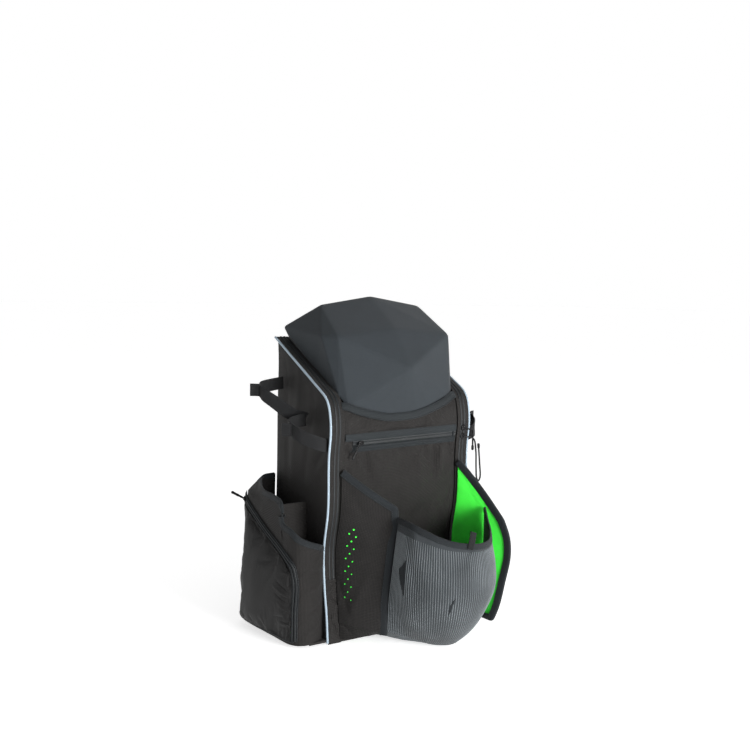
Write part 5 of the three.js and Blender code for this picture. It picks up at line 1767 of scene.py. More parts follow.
    def build_pocket(self, word: str, side: int) -> None:
        """Bulging pocket with its zip and lower edge."""
        rows, columns = 84, 96
        margin = (self.pocket_zip / 2 - 1.2) / path_length(self.ring(None, False, 600))
        u = np.linspace(0, 1, columns)[None]
        v = np.linspace(0, 1, rows)[:, None]
        share = mix(self.pocket_from + margin, self.pocket_to + self.pocket_over, u)
        top = self.pocket_top(share) - self.pocket_zip * 0.5
        rounding = np.maximum(0, 0.12 - u) * np.maximum(0, v - 0.75) * 400
        bulge = self.pocket_bulge * np.sqrt(np.clip(np.sin(np.pi * u) * np.sin(np.pi * v), 0, 1))
        height = mix(self.pocket_base, top - rounding, v)
        grid = self.wall_place(share + 0 * v, height, 1.4 + bulge)
        folds = [
            Fold((0.0, 0.66), (0.16, 0.7), 3.0, -1.5),
            Fold((0.0, 0.6), (0.2, 0.62), 3.0, 1.3),
            Fold((0.0, 0.5), (0.17, 0.55), 2.8, -1.3),
            Fold((0.0, 0.4), (0.14, 0.45), 2.8, 1.2),
            Fold((0.0, 0.32), (0.2, 0.26), 3.2, -1.2),
            Fold((0.0, 0.22), (0.16, 0.2), 3.0, 1.1),
            Fold((0.2, 0.9), (0.42, 0.75), 5.0, -1.0),
            Fold((0.75, 0.94), (0.9, 0.6), 7.0, 1.2),
            Fold((0.3, 0.2), (0.7, 0.12), 9.0, 0.9),
        ]
        calm = np.clip(np.minimum(u, 1 - u) * 20, 0, 1) * np.clip(np.minimum(v, 1 - v) * 20, 0, 1)
        lift = (relief(grid, folds) + 0.4 * ripple(grid, 60, 31)) * calm
        grid = settle(grid + grid_normals(grid) * lift[..., None], Settling(0.03, 1.5, 6.0))
        draft = Draft().add_sheet(grid, 1.8)
        dress(draft.object(f"pocket_front_{word}", SMOOTH_CLOTH, side), SMOOTH_CLOTH, f"pocket_panel_{word}")
        place, level = self.zip_places()
        outs = self.wall_out(place)
        path = self.wall_place(place, level, 1.0)
        band = Draft().add_band(path, outs, zip_section(self.pocket_zip, 3.0))
        dress(band.object(f"pocket_zip_band_{word}", ZIP, side, 40), ZIP, f"pocket_zip_{word}")
        across = unit(np.cross(tangents(path), outs))
        seams = [mirror_path(resample(path + across * a + outs * 1.0, 400), side) for a in (-6.2, 6.2)]
        dress(stitches(f"pocket_zip_stitches_{word}", seams, STITCH), STITCH)
        groove = mirror_path(resample(path + outs * 0.8, 400), side)
        dress(stitches(f"pocket_zip_teeth_{word}", [groove], BINDING, 1.6, 0.42), BINDING)
        along = np.linspace(self.pocket_from, self.pocket_to + self.pocket_over, 120)
        low = self.wall_place(along, self.pocket_base - 1.2, 2.4)
        rising = np.linspace(self.pocket_base, self.pocket_back - 4, 80)
        rear = self.wall_place(self.pocket_to + 0.015, rising, 2.4)
        edge = soften(resample(np.vstack([low, rear]), 240), 5)
        outs = unit(np.column_stack([edge[:, 0] - self.shape.side, edge[:, 1], np.zeros(len(edge))]))
        piping = Draft().add_band(edge, outs, tube_section(1.7, 8))
        dress(piping.object(f"pocket_edge_{word}", BINDING, side), BINDING)

    def build_pull(self, word: str, side: int) -> None:
        """Slider and pull at the pocket's upper end."""
        share = mix(self.pocket_from, self.pocket_to, 0.93)
        flip = np.array([side, 1, 1])
        out = self.wall_out(np.array([share]))[0]
        near, far = (self.wall_place(s, float(self.pocket_top(s)), 5.6) for s in (share, share + 0.02))
        along = unit(far - near)
        build_slider(f"pocket_zip_slider_{word}", near * flip, along * flip, out * flip, f"pocket_slider_{word}")
        start = near + out * 1.6 + along * 2
        lean = unit(along * 0.5 + out * 0.75 + np.array([0, 0, 0.12]))
        build_loop_pull(
            f"pocket_zip_pull_{word}", start * flip, lean * flip, np.array([0, 0, 1.0]), 25, f"pocket_pull_{word}", 1.45
        )

    def build(self) -> None:
        """Both sleeves."""
        for word, side in SIDES:
            self.build_wall(word, side)
            self.build_binding(word, side)
            self.build_pocket(word, side)
            self.build_pull(word, side)


@dataclass
class BatStraps:
    """Elastic straps that hold two bats on each side."""

    shape: BodyShape
    sleeve: BatSleeve
    width: float = 22.0
    thickness: float = 2.0
    left_reach: float = 66.0
    right_reach: float = 34.0
    height: float = 337.0
    rise: float = 93.0
    rows: tuple = (
        (0, 0.1, 0), (0.005, 0.068, 0.002), (0.09, 0.04, 0.02), (0.35, 0.025, 0.08), (0.68, 0.08, 0.19),
        (0.79, 0.18, 0.28), (0.68, 0.29, 0.35), (0.32, 0.35, 0.39), (0.05, 0.385, 0.41), (0.4, 0.42, 0.5),
        (0.84, 0.48, 0.74), (1, 0.58, 0.87), (0.86, 0.71, 0.94), (0.4, 0.78, 0.98), (0, 0.82, 1),
    )

    def path(self, reach: float, count: int) -> tuple[Array, Array]:
        """Middle of a strap and its outward directions."""
        base = self.shape.side + 2.5 * GAP + self.thickness
        rows = [
            (base + out * reach, -self.sleeve.front + along * self.sleeve.length, self.height + up * self.rise)
            for out, along, up in self.rows
        ]
        path = Spline(rows).at(np.linspace(0, 1, count))
        path[:, 0] = np.maximum(path[:, 0], base)
        along = tangents(path)
        outs = unit(np.stack([along[:, 1], -along[:, 0], np.zeros(count)], 1))
        return path, outs

    def build(self) -> None:
        """Straps with their folded tabs and stitches."""
        for word, side in SIDES:
            reach = self.left_reach if side < 0 else self.right_reach
            path, outs = self.path(reach, 220)
            strap = Draft().add_band(path, outs, tape_section(self.width, self.thickness, 0.3))
            dress(strap.object(f"bat_strap_webbing_{word}", WEBBING, side, 60), WEBBING, f"bat_strap_{word}")
            seams = []
            across = unit(np.cross(tangents(path), outs))
            for place in (-9.2, 9.2):
                seams.append(mirror_path(resample((path + across * place + outs * 2.05)[4:-4], 400), side))
            dress(stitches(f"bat_strap_stitches_{word}", seams, STITCH, 3.0, 0.25), STITCH)
            for name, share in (("front", 0.352), ("rear", 0.81)):
                self.build_tab(f"strap_tab_{name}_{word}", path, outs, share, side)

    def build_tab(self, node: str, path: Array, outs: Array, share: float, side: int) -> None:
        """Folded tab at a strap's outer turn.

        Args:
            node: CAD node that it stands for.
            path: Strap's middle.
            outs: Its outward directions.
            share: Place along the strap.
            side: -1 for the bag's left.
        """
        index = int(share * (len(path) - 1))
        out = unit(outs[index] + np.array([0, 0.6, 0]))
        start = path[index] + outs[index] * (self.thickness + GAP) + np.array([0, 0, 2.5])
        run = np.linspace(0, 1, 12)[:, None]
        middle = start + out * 17 * run + np.array([0, 1, 0]) * 1.6 * np.sin(np.pi * run)
        face = np.broadcast_to(np.array([-out[1], out[0], 0]), middle.shape)
        section = tape_section(21.5, 1.5, 0.1) - [0, 0.75]
        piece = Draft().add_band(middle, face, section).object(node + "_fold", WEBBING, side, 60)
        dress(piece, WEBBING, node)
        up = np.array([0, 0, 1.0])
        frame_line = rounded_plate(13, 17, 0.8, 2)
        across = unit(middle[-1] - middle[0])
        centre = middle[6]
        seams = []
        for face_side in (1, -1):
            ring = centre + frame_line[:, :1] * across + frame_line[:, 1:] * up + face[0] * face_side * 1.3
            seams.append(mirror_path(resample(np.vstack([ring, ring[:1]]), 60), side))
        dress(stitches(node + "_stitches", seams, STITCH, 2.2, 0.25), STITCH)


# Helmet carrier


@dataclass
class Wing:
    """One side flap of the helmet carrier, from its hinge to its bound free edge."""

    shape: BodyShape
    side: int
    base: float
    clear: float
    edge_rows: tuple
    with_bottom: bool
    hinge: float = 124.0
    thickness: float = 4.5
    top: float = 297.0
    reach: float = 97.0
    bulge: float = 7.0
    band: float = 9.0
    bound: float = 7.0
    foot: float = 21.0
    binding_end: float = 30.0

    def surface(self, u: Array, v: Array) -> Array:
        """Places between the hinge (0) and free edge (1), bottom (0) to top (1).

        Args:
            u: Shares from the hinge.
            v: Shares from the bottom.

        Returns:
            One point for each pair.
        """
        u, v = np.broadcast_arrays(np.asarray(u, float), np.clip(np.asarray(v, float), 0, 1))
        rows = [
            (self.side * (self.hinge + out * self.reach), -self.shape.front_reach - forward * self.reach, up * self.top)
            for out, forward, up in self.edge_rows
        ]
        free = Spline(rows).at(v.ravel()).reshape(*v.shape, 3)
        z = mix(self.base, self.top, v)
        root = np.stack([np.full(z.shape, self.side * self.hinge), self.shape.front_at(z), z], -1)
        bulge = self.side * self.bulge * (1 - 0.5 * v)
        leaving = free - root
        lean = leaving[..., 0] + bulge * math.pi
        lean = np.abs(lean) / np.maximum(np.hypot(lean, leaving[..., 1]), 1e-6)
        root[..., 1] -= self.clear + lean * (self.thickness + self.bound) / 2
        point = root + (free - root) * u[..., None]
        point[..., 0] += bulge * np.sin(np.pi * u)
        return point

    def grid(self, rows: int, columns: int, edge: float) -> Array:
        """Grid of the flap without its bound edges.

        Args:
            rows: Rows of points.
            columns: Columns of points.
            edge: Width left to the binding.

        Returns:
            The grid.
        """
        u, v = np.meshgrid(np.linspace(0, 1, columns), np.linspace(0, 1, rows))
        width = np.linalg.norm(self.surface(1.0, v[:, :1]) - self.surface(0.0, v[:, :1]), axis=-1)
        height = np.linalg.norm(self.surface(u[:1], 1.0) - self.surface(u[:1], 0.0), axis=-1)
        u = u * (1 - edge / width)
        low = edge / height if self.with_bottom else 0 * height
        v = low + v * (1 - edge / height - low)
        return self.surface(u, v)

    def border(self) -> Array:
        """Free border of the flap: along the top, down the free edge and, where bound, back along the bottom."""
        top = self.surface(np.linspace(0.04, 1, 80), 1.0)
        free = self.surface(1.0, np.linspace(1, 0, 120))
        parts = [top, free[1:]]
        if self.with_bottom:
            parts.append(self.surface(np.linspace(1, 0.02, 80), 0.0)[1:])
        else:
            parts.append(free[-1:] - [0, 0, self.base - self.binding_end])
        return soften(resample(np.vstack(parts), 360), 5)


@dataclass
class HelmetCarrier:
    """Two padded wings and the stretch mesh pouch between them."""

    shape: BodyShape
    pouch_radius: float = 100.0
    centre_out: float = 25.0
    centre_reach: float = 200.0
    pouch_height: float = 218.0
    pouch_base: float = 4.0
    mesh: float = 1.5
    thread_pitch: float = 3.6
    draw_in: float = 0.2
    left_rows: tuple = (
        (-0.57, 0.6, 0.08), (-0.585, 0.6, 0.27), (-0.64, 0.6, 0.43), (-0.7, 0.6, 0.59), (-0.78, 0.58, 0.7),
        (-0.78, 0.57, 0.785),
    )
    right_rows: tuple = (
        (0.28, 0.79, 0.045), (0.34, 0.87, 0.135), (0.41, 0.93, 0.28), (0.48, 0.98, 0.44), (0.47, 0.96, 0.55),
        (0.41, 0.86, 0.655),
    )
    ring_rows: tuple = ((0.34, 0.02), (0.53, 0.062), (0.75, 0.165), (0.91, 0.31), (0.98, 0.47), (0.955, 0.66))
    mouth_rows: tuple = (
        (200, 0.84, 0.995), (218, 0.83, 0.95), (240, 0.84, 0.89), (262, 0.85, 0.858), (284, 0.86, 0.84),
        (306, 0.855, 0.838), (328, 0.86, 0.86), (348, 0.94, 0.9), (371, 1.2, 0.985),
    )
    left: Wing = field(init=False)
    right: Wing = field(init=False)

    def __post_init__(self) -> None:
        """Make both wings' shapes."""
        self.left = Wing(self.shape, -1, 34.0, 4 * GAP, self.left_rows, False)
        self.right = Wing(self.shape, 1, 17.0, 3 * GAP + 2.2, self.right_rows, True)

    def pouch_place(self, turn: Array, radius: Array, up: Array) -> Array:
        """Place on the pouch by its turn in degrees, radius share and height share."""
        angle = np.radians(turn)
        x = self.centre_out + self.pouch_radius * radius * np.cos(angle)
        y = -self.centre_reach + self.pouch_radius * radius * np.sin(angle)
        return np.stack([x, y, np.broadcast_to(up * self.pouch_height, x.shape)], -1)

    def left_sewing(self, height: float) -> Array:
        """Seam of the mesh to the left wing."""
        v = (height - self.left.base) / (self.left.top - self.left.base)
        point = self.left.surface(1.0, v * 1.25)
        out = point - self.left.surface(0.0, v)
        out[2] = 0
        point = point + unit(out) * self.mesh
        point[2] = height
        return point

    def right_sewing(self, height: float) -> Array:
        """Seam of the mesh to the right wing's lining."""
        v = min(max(height / self.right.top * 1.2, 0.12), 0.98)
        point = self.right.surface(0.55, v)
        across = point - self.right.surface(0.45, v)
        across[2] = 0
        across = unit(across)
        point = point + np.array([across[1], -across[0], 0]) * (self.right.thickness + self.mesh + 4 * GAP)
        point[2] = height
        return point

    def pouch_grid(self, rows: int, columns: int) -> Array:
        """Fine grid of the pouch from the body's front edge to its mouth."""
        coarse = 22
        mouth = np.array(self.mouth_rows)
        first, last = mouth[0, 0], mouth[-2, 0]
        turns = first + (np.arange(1, coarse) - 1) / (coarse - 2) * (last - first)
        x = np.linspace(-self.pouch_radius * 0.72, self.left.hinge - self.mesh, coarse + 1)
        seam = np.stack([x, np.full_like(x, -self.shape.front_reach - GAP), np.full_like(x, self.pouch_base)], -1)
        rings = []
        for radius, up in self.ring_rows:
            height = up * self.pouch_height
            slack = self.draw_in * max(0.0, 1 - up / 0.5) * np.clip((turns - 265) / 50, 0, 1)
            middle = self.pouch_place(turns, radius * (1 - slack), np.full(coarse - 1, up))
            raised = height + self.left.foot * (1 - up)
            rings.append(np.vstack([[self.left_sewing(raised)], middle, [self.right_sewing(height)]]))
        radius = np.interp(turns, mouth[:, 0], mouth[:, 1])
        up = np.interp(turns, mouth[:, 0], mouth[:, 2])
        left, right = mouth[0, 2] * self.pouch_height, mouth[-1, 2] * self.pouch_height
        ends = (self.left_sewing(left), self.right_sewing(right))
        lip = np.vstack([[ends[0]], self.pouch_place(turns, radius, up), [ends[1]]])
        floor = mix(seam, rings[0], 0.5)
        spread = [resample(Spline(ring).at(np.linspace(0, 1, 500)), columns) for ring in (seam, floor, *rings, lip)]
        even = [soften(ring, 5) for ring in spread]
        return refine(np.array(even), rows, columns)

    def build_wing(self, wing: Wing, word: str) -> None:
        """Outer cloth, lining and binding of one wing."""
        grid = wing.grid(90, 70, wing.band * 0.55)
        normals = grid_normals(grid)
        away = np.sign(np.mean(normals[..., 0]) * wing.side) * normals
        folds = [
            Fold((0.1, 0.12), (0.5, 0.3), 10, -1.2),
            Fold((0.25, 0.05), (0.75, 0.45), 8, 1.0),
            Fold((0.05, 0.3), (0.3, 0.05), 6, -1.4),
            Fold((0.3, 0.75), (0.85, 0.55), 12, 1.0),
            Fold((0.1, 0.95), (0.5, 0.8), 8, -0.8),
        ]
        u = np.linspace(0, 1, grid.shape[1])[None]
        v = np.linspace(0, 1, grid.shape[0])[:, None]
        calm = np.clip(np.minimum(u, 1 - u) * 12, 0, 1) * np.clip(np.minimum(v, 1 - v) * 12, 0, 1)
        swell = 1.6 * np.sqrt(np.clip(np.sin(np.pi * u) * np.sin(np.pi * v), 0, 1))
        bumps = (relief(grid, folds) + 0.3 * ripple(grid, 50, 41)) * calm + swell
        outer = grid + away * (0.15 + bumps)[..., None]
        inner = (grid - away * (0.15 + np.abs(0.8 * bumps) + 1.4 * swell)[..., None])[:, 1:]
        sign = 1 if np.mean((normals * away).sum(-1)) > 0 else -1
        piece = Draft().add_sheet(outer, sign * 1.6).object(f"wing_cloth_{word}", WING_CLOTH)
        dress(piece, WING_CLOTH, f"wing_{word}")
        lining = Draft().add_sheet(inner, -sign * 1.6).object(f"wing_lining_{word}", LINING)
        dress(lining, LINING)
        border = wing.border()
        dense = wing.grid(60, 60, 0.0)
        centre = dense.reshape(-1, 3).mean(0)
        inward = unit(centre - border)
        along = tangents(border)
        face = unit(np.cross(along, inward))
        inward = unit(np.cross(face, along))
        lift = away.reshape(-1, 3).mean(0)
        face *= np.sign((face * lift).sum(-1))[:, None]
        section = wrap_section(9.5, 4.6, 1.1)[:, ::-1]
        binding = Draft().add_band(border, -inward, section)
        dress(binding.object(f"wing_binding_tape_{word}", BINDING, crease=60), BINDING, f"wing_binding_{word}")
        seams = [resample(border + inward * 8.0 + face * s * 3.7, 400) for s in (1, -1)]
        dress(stitches(f"wing_binding_stitches_{word}", seams, STITCH), STITCH)

    def build_dots(self) -> None:
        """Green eyes in a zigzag on the left wing, smaller toward the bottom."""
        places, sizes = [], []
        for group in range(7):
            for step in range(3):
                if group == 6 and step:
                    continue
                if group == 0 and step == 0:
                    continue
                u = 0.378 - 0.006 * group - 0.071 * step
                v = 0.677 - 0.085 * group - 0.037 * step
                places.append((u, v))
                sizes.append(mix(1.5, 0.8, group / 6))
        u, v = np.array(places).T
        points = self.left.surface(u, v)
        step = 0.01
        across = self.left.surface(u + step, v) - self.left.surface(u - step, v)
        up = self.left.surface(u, v + step) - self.left.surface(u, v - step)
        facing = unit(np.cross(across, up))
        facing *= -np.sign(facing[:, :1])
        points = points + facing * (1.6 + 1.9)
        dress(studs("wing_eyes_left", points, facing, np.array(sizes), LINING, 0.8), LINING)

    def build_pouch(self) -> None:
        """Stretch mesh with its upright threads, mouth binding and tab."""
        grid = self.pouch_grid(90, 150)
        folds = [
            Fold((0.12, 0.98), (0.2, 0.72), 5, -1.8),
            Fold((0.17, 0.97), (0.27, 0.68), 5, 1.6),
            Fold((0.23, 0.96), (0.31, 0.74), 4, -1.3),
            Fold((0.43, 0.92), (0.49, 0.975), 2.4, -2.0),
            Fold((0.49, 0.92), (0.43, 0.975), 2.4, -2.0),
            Fold((0.45, 0.9), (0.45, 0.84), 3.5, 1.2),
            Fold((0.3, 0.96), (0.33, 0.7), 4, -1.2),
            Fold((0.1, 0.2), (0.3, 0.24), 4, 1.4),
            Fold((0.08, 0.26), (0.26, 0.3), 4, -1.2),
        ]
        lift = relief(grid, folds)
        draft = Draft().add_sheet(grid, -1.2, lift)
        net = dress(draft.object("pouch_net", NET), NET, "mesh_pouch")
        raised = grid + grid_normals(grid) * (lift + 0.1)[..., None]
        start = 12
        middle_row = raised[45]
        count = int(path_length(middle_row) / self.thread_pitch)
        columns = np.interp(np.linspace(0.01, 0.99, count), arc_shares(middle_row), np.arange(grid.shape[1]))
        lines = []
        for column in columns:
            low = int(column)
            share = column - low
            line = mix(raised[start:-4, low], raised[start:-4, min(low + 1, grid.shape[1] - 1)], share)
            lines.append(line)
        sewn = [dress(threads("pouch_threads", lines, THREAD, 0.47), THREAD)]
        sewn.append(self.build_dart("pouch_dart_left", raised, (65, 20), (80, 19.5), 8.6, 0.73))
        sewn.append(self.build_dart("pouch_dart_right", raised, (58, 53), (67, 56.3), 1.7, 0.6))
        sewn += self.build_mouth(raised)

    def build_dart(
        self, name: str, raised: Array, low: tuple, top: tuple, width: float, belly: float
    ) -> bpy.types.Object:
        """Dark dart sewn into the net.

        Args:
            name: Name of the piece.
            raised: Grid of the net's outside.
            low: Row and column of its lower point.
            top: Row and column of its upper point.
            width: Its widest measure in columns.
            belly: Share of its height where it is widest.

        Returns:
            The dart.
        """
        v, w = np.meshgrid(np.linspace(0, 1, 28), np.linspace(0, 1, 8), indexing="ij")
        wide = width * np.minimum(v / belly, (1 - v) / (1 - belly)) + 0.06
        row = mix(low[0], top[0], v)
        column = mix(low[1], top[1], v) - wide * (1 - w)
        r0, c0 = row.astype(int), column.astype(int)
        fr, fc = (row - r0)[..., None], (column - c0)[..., None]
        near = mix(raised[r0, c0], raised[r0, c0 + 1], fc)
        far = mix(raised[r0 + 1, c0], raised[r0 + 1, c0 + 1], fc)
        patch = mix(near, far, fr)
        return dress(Draft().add_sheet(patch, 0.5, 0.5).object(name, BINDING), BINDING)

    def build_mouth(self, raised: Array) -> list[bpy.types.Object]:
        """Binding, stitches and tab of the pouch's mouth."""
        lip = raised[-1]
        below = raised[-6]
        up = unit(lip - below)
        along = tangents(lip)
        out = unit(np.cross(along, up))
        section = wrap_section(8.5, 2.2, 0.9)[:, ::-1]
        draft = Draft().add_band(lip[1:-1], up[1:-1], section)
        made = [dress(draft.object("pouch_mouth_binding", BINDING, crease=60), BINDING, "mesh_binding")]
        seam = lip - up * 7.4 + out * 2.0
        made.append(dress(stitches("pouch_mouth_stitches", [resample(seam[1:-1], 500)], STITCH), STITCH))
        index = int(0.463 * (len(lip) - 1))
        root = lip[index] - up[index] * 8 + out[index] * 2.4
        lean = unit(up[index] + along[index] * 0.35)
        run = np.linspace(0, 1, 16)[:, None]
        middle = root + lean * 29 * run + out[index] * 1.2 * np.sin(np.pi * run)
        outs = np.broadcast_to(out[index], middle.shape)
        tab = Draft().add_band(middle, outs, tape_section(12, 1.5, 0.1))
        made.append(dress(tab.object("pouch_pull_tab", WEBBING, crease=60), WEBBING, "pouch_tab"))
        return made

    def build_gusset(self) -> None:
        """Fold of cloth from the left wing's lower edge to the floor."""
        u, v = np.meshgrid(np.linspace(0, 0.985, 60), np.linspace(0, 1, 24))
        top = self.left.surface(u, 0.0) - np.array([0, 0, 1.0])
        foot = top.copy()
        foot[..., 2] = mix(self.pouch_base, self.left.foot, u)
        foot[..., 1] = mix(top[..., 1], -self.shape.front_reach, 0.12 * u)
        grid = mix(top, foot, v[..., None])
        grid[..., 1] = np.minimum(grid[..., 1], self.shape.front_at(grid[..., 2]) - 2.6)
        folds = [Fold((0.1, 0.05), (0.45, 0.95), 3, 2.0), Fold((0.3, 0.0), (0.7, 0.9), 4, -1.5)]
        piece = Draft().add_sheet(grid, 1.6, relief(grid, folds)).object("wing_gusset_fold", WING_CLOTH)
        dress(piece, WING_CLOTH, "wing_gusset_left")

    def build(self) -> None:
        """All pieces of the carrier."""
        self.build_wing(self.left, "left")
        self.build_wing(self.right, "right")
        self.build_dots()
        self.build_pouch()
        self.build_gusset()


# Pulls of the main zip


@dataclass
class MainPulls:
    """Two sliders on the right main zip with their corded pulls."""

    shape: BodyShape
    upper: float = 352.0
    lower: float = 337.0

    def place(self, height: float) -> Array:
        """Slider's middle on the right zip."""
        return np.array([self.shape.zip_centre, float(self.shape.front_at(height)) - 5.6, height])

    def cord(self, name: str, points: list[Array], radius: float, node: str) -> None:
        """Corded pull through points, with a moulded end."""
        path = resample(Spline(points).at(np.linspace(0, 1, 200)), 90)
        outs = np.broadcast_to(np.array([0, -1.0, 0.01]), path.shape)
        draft = Draft().add_band(path, outs, tube_section(radius, 10))
        tip = tangents(path)[-1]
        end = path[-1] + tip * np.array([[0.0], [1.5], [7.0], [9.0]])
        section = np.stack([tube_section(radius * s, 10) for s in (1.2, 1.6, 1.7, 1.2)])
        draft.add_band(end, outs[:4], section)
        dress(draft.object(name, PLASTIC), PLASTIC, node)

    def build(self) -> None:
        """Sliders and pulls."""
        up, out = np.array([0, 0, 1.0]), np.array([0, -1.0, 0])
        for word, height in (("upper", self.upper), ("lower", self.lower)):
            build_slider(f"main_zip_slider_{word}", self.place(height), up, out, f"main_slider_{word}")
        start = self.place(self.upper) + out * 3
        side = self.shape.side
        points = [start, start + [8, -0.6, -2], np.array([side + 6, start[1] + 1, start[2] - 5])]
        points += [points[-1] + [1.2, 0.5, -14], points[-1] + [2, 1.2, -28]]
        self.cord("main_zip_pull_upper", points, 1.5, "main_pull_upper")
        start = self.place(self.lower) + out * 3
        reach = side + 13
        rows = ((-8, 0.06), (-2, 0.3), (0, 0.7), (2, 0.93), (6, 1), (10, 0.92), (8, 0.6), (5, 0.28))
        points = [start] + [np.array([reach + a, start[1] - 5.5, start[2] - down * 84]) for a, down in rows]
        self.cord("main_zip_pull_lower", points, 1.5, "main_pull_lower")


# Carrying side


@dataclass
class CarryingSide:
    """Back pad, shoulder straps, webbing, adjusters and haul loop."""

    shape: BodyShape
    pad_width: float = 210.0
    pad_height: float = 388.0
    pad_base: float = 62.0
    pad_thickness: float = 10.0
    strap_width: float = 66.0
    strap_thickness: float = 7.0
    strap_place: float = 62.0
    strap_top: float = 462.0
    strap_end: float = 205.0
    clear: float = 12.0
    webbing: float = 25.0
    spread: float = 122.0
    foot: float = 34.0

    def build_pad(self) -> None:
        """Back pad with its sewn channels."""
        half = self.pad_width / 2
        u, v = np.meshgrid(np.linspace(1, -1, 110), np.linspace(-1, 1, 160))
        stretch = np.maximum(np.abs(u), np.abs(v)) / np.maximum((np.abs(u) ** 7 + np.abs(v) ** 7) ** (1 / 7), 1e-6)
        x = half * u * stretch
        z = self.pad_base + self.pad_height / 2 * (1 + v * stretch)
        edge = 1 - np.maximum(np.abs(u), np.abs(v)) ** 6
        channel = np.zeros_like(x)
        for place in (-0.33, 0.33):
            channel += np.exp(-(((x - place * half) / 4) ** 2))
        for height in (0.25, 0.5, 0.75):
            level = self.pad_base + self.pad_height * height + np.abs(x) * 0.25
            channel += np.exp(-(((z - level) / 4) ** 2))
        lift = 2.5 + (self.pad_thickness - 2.5) * edge - 3.5 * np.clip(channel, 0, 1) * edge
        grid = np.stack([x, self.shape.back_reach + GAP + lift, z], -1)
        draft = Draft()
        near = draft.add_points(np.stack([x, np.full_like(x, self.shape.back_reach + GAP), z], -1))
        far = draft.add_points(grid)
        uv = grid_uv(grid)
        draft.weave_grid(near, *x.shape, uv, False, True)
        draft.weave_grid(far, *x.shape, uv, False, False)
        index = np.arange(x.size).reshape(x.shape)
        ring = [*index[0], *index[1:, -1], *index[-1, -2::-1], *index[-2:0:-1, 0]]
        flat = uv.reshape(-1, 2)
        for a, b in zip(ring, ring[1:] + ring[:1]):
            draft.add_face([near + a, near + b, far + b, far + a], [flat[a], flat[b], flat[b], flat[a]])
        piece = dress(draft.object("back_pad_mesh", AIR_MESH), AIR_MESH, "back_pad")

    def strap_route(self, count: int) -> Array:
        """Middle of a shoulder strap."""
        seat = self.shape.back_reach + GAP
        away = seat + self.pad_thickness + self.clear
        rows = [(0, seat, -0.05), (0, mix(seat, away, 0.45), 0.01), (0, mix(seat, away, 0.85), 0.09)]
        rows += [(0.05, away, 0.25), (0.2, away, 0.6), (0.45, away, 1)]
        points = [
            (mix(self.strap_place, self.spread, spread * 0.6), reach, mix(self.strap_top, self.strap_end, down))
            for spread, reach, down in rows
        ]
        return resample(Spline(points).at(np.linspace(0, 1, 300)), count)

    def build_straps(self) -> None:
        """Padded shoulder straps with bound edges, webbing and adjusters."""
        path = self.strap_route(120)
        outs = np.broadcast_to(np.array([0, 1.0, 0]), path.shape)
        for word, side in SIDES:
            half = self.strap_width / 2
            across = np.linspace(-half, half, 21)
            crown = self.strap_thickness * (1 - (np.abs(across) / half) ** 6 * 0.6)
            section = np.vstack([np.stack([across, crown], 1), np.stack([across, 0 * across], 1)[::-1]])
            strap = Draft().add_band(path, outs, section)
            piece = strap.object(f"shoulder_pad_{word}", AIR_MESH, side)
            fill_padding(piece, Settling(0.0, 4.0, 4.0), self.shape.back_reach + 6)
            dress(piece, AIR_MESH, f"shoulder_strap_{word}")
            along = tangents(path)
            side_way = unit(np.cross(along, outs))
            edges = [path + side_way * s * (half - 0.5) + outs * 2.6 for s in (-1, 1)]
            draft = Draft()
            for edge in edges:
                draft.add_band(edge, outs, tube_section(2.1, 8))
            dress(draft.object(f"shoulder_edge_{word}", BINDING, side), BINDING)
            end, before = path[-1], path[-2]
            along = unit(end - before)
            start = end + along * 0.9 + np.array([0, self.strap_thickness / 2, 0])
            below = start + along * 24
            foot = np.array([self.spread, self.shape.back_reach + GAP, self.foot])
            bend = np.array(
                [mix(start[0], self.spread, 0.8), self.shape.back_reach + self.pad_thickness + 4, self.pad_base + 35]
            )
            route = resample(Spline([start, below, bend, foot]).at(np.linspace(0, 1, 200)), 90)
            section = tape_section(self.webbing, 2.0, 0.2)
            band = Draft().add_band(route, np.broadcast_to([0, 1.0, 0], route.shape), section)
            dress(band.object(f"strap_tail_{word}", WEBBING, side, 60), WEBBING, f"strap_webbing_{word}")
            down = unit(below - start)
            across_way = unit(np.cross(down, np.array([0, 1.0, 0])))
            out = unit(np.cross(across_way, down))
            centre = start + down * 24 * 0.62 + out * (2.6 + 2.0)
            draft = Draft()
            for place in (-10, 0, 10):
                bar = plate(centre + down * place, across_way, down, (34, 4.2, 3.6), 1.5, 0.8)
                merge(draft, bar)
            for place in (-15, 15):
                post = plate(centre + across_way * place, across_way, down, (4.2, 24, 4.0), 1.5, 0.8)
                merge(draft, post)
            dress(draft.object(f"strap_buckle_{word}", BUCKLE, side), BUCKLE, f"strap_adjuster_{word}")

    def build_haul(self) -> None:
        """Haul loop above the pad."""
        lean = np.array([0, 0.5, 0.87])
        width = self.webbing * 0.8
        foot = self.shape.back_reach + GAP + width / 2 * lean[2]
        turn = np.linspace(0, np.pi, 60)[:, None]
        middle = np.array([0, foot, 470.0]) + np.array([24.0, 0, 0]) * np.cos(turn) + lean * 38 * np.sin(turn)
        outs = np.array([1.0, 0, 0]) * np.cos(turn) + lean * np.sin(turn)
        draft = Draft().add_band(middle, outs, tape_section(width, 2.0, 0.2))
        dress(draft.object("haul_webbing", WEBBING, crease=60), WEBBING, "haul_loop")

    def build(self) -> None:
        """All pieces of the carrying side."""
        self.build_pad()
        self.build_straps()
        self.build_haul()


def merge(draft: Draft, other: Draft) -> None:
    """Add another draft's points and faces to a draft."""
    start = draft.add_points(np.vstack(other.points))
    for face, flat in zip(other.faces, other.flats):
        draft.add_face([start + corner for corner in face], flat)


# Studio


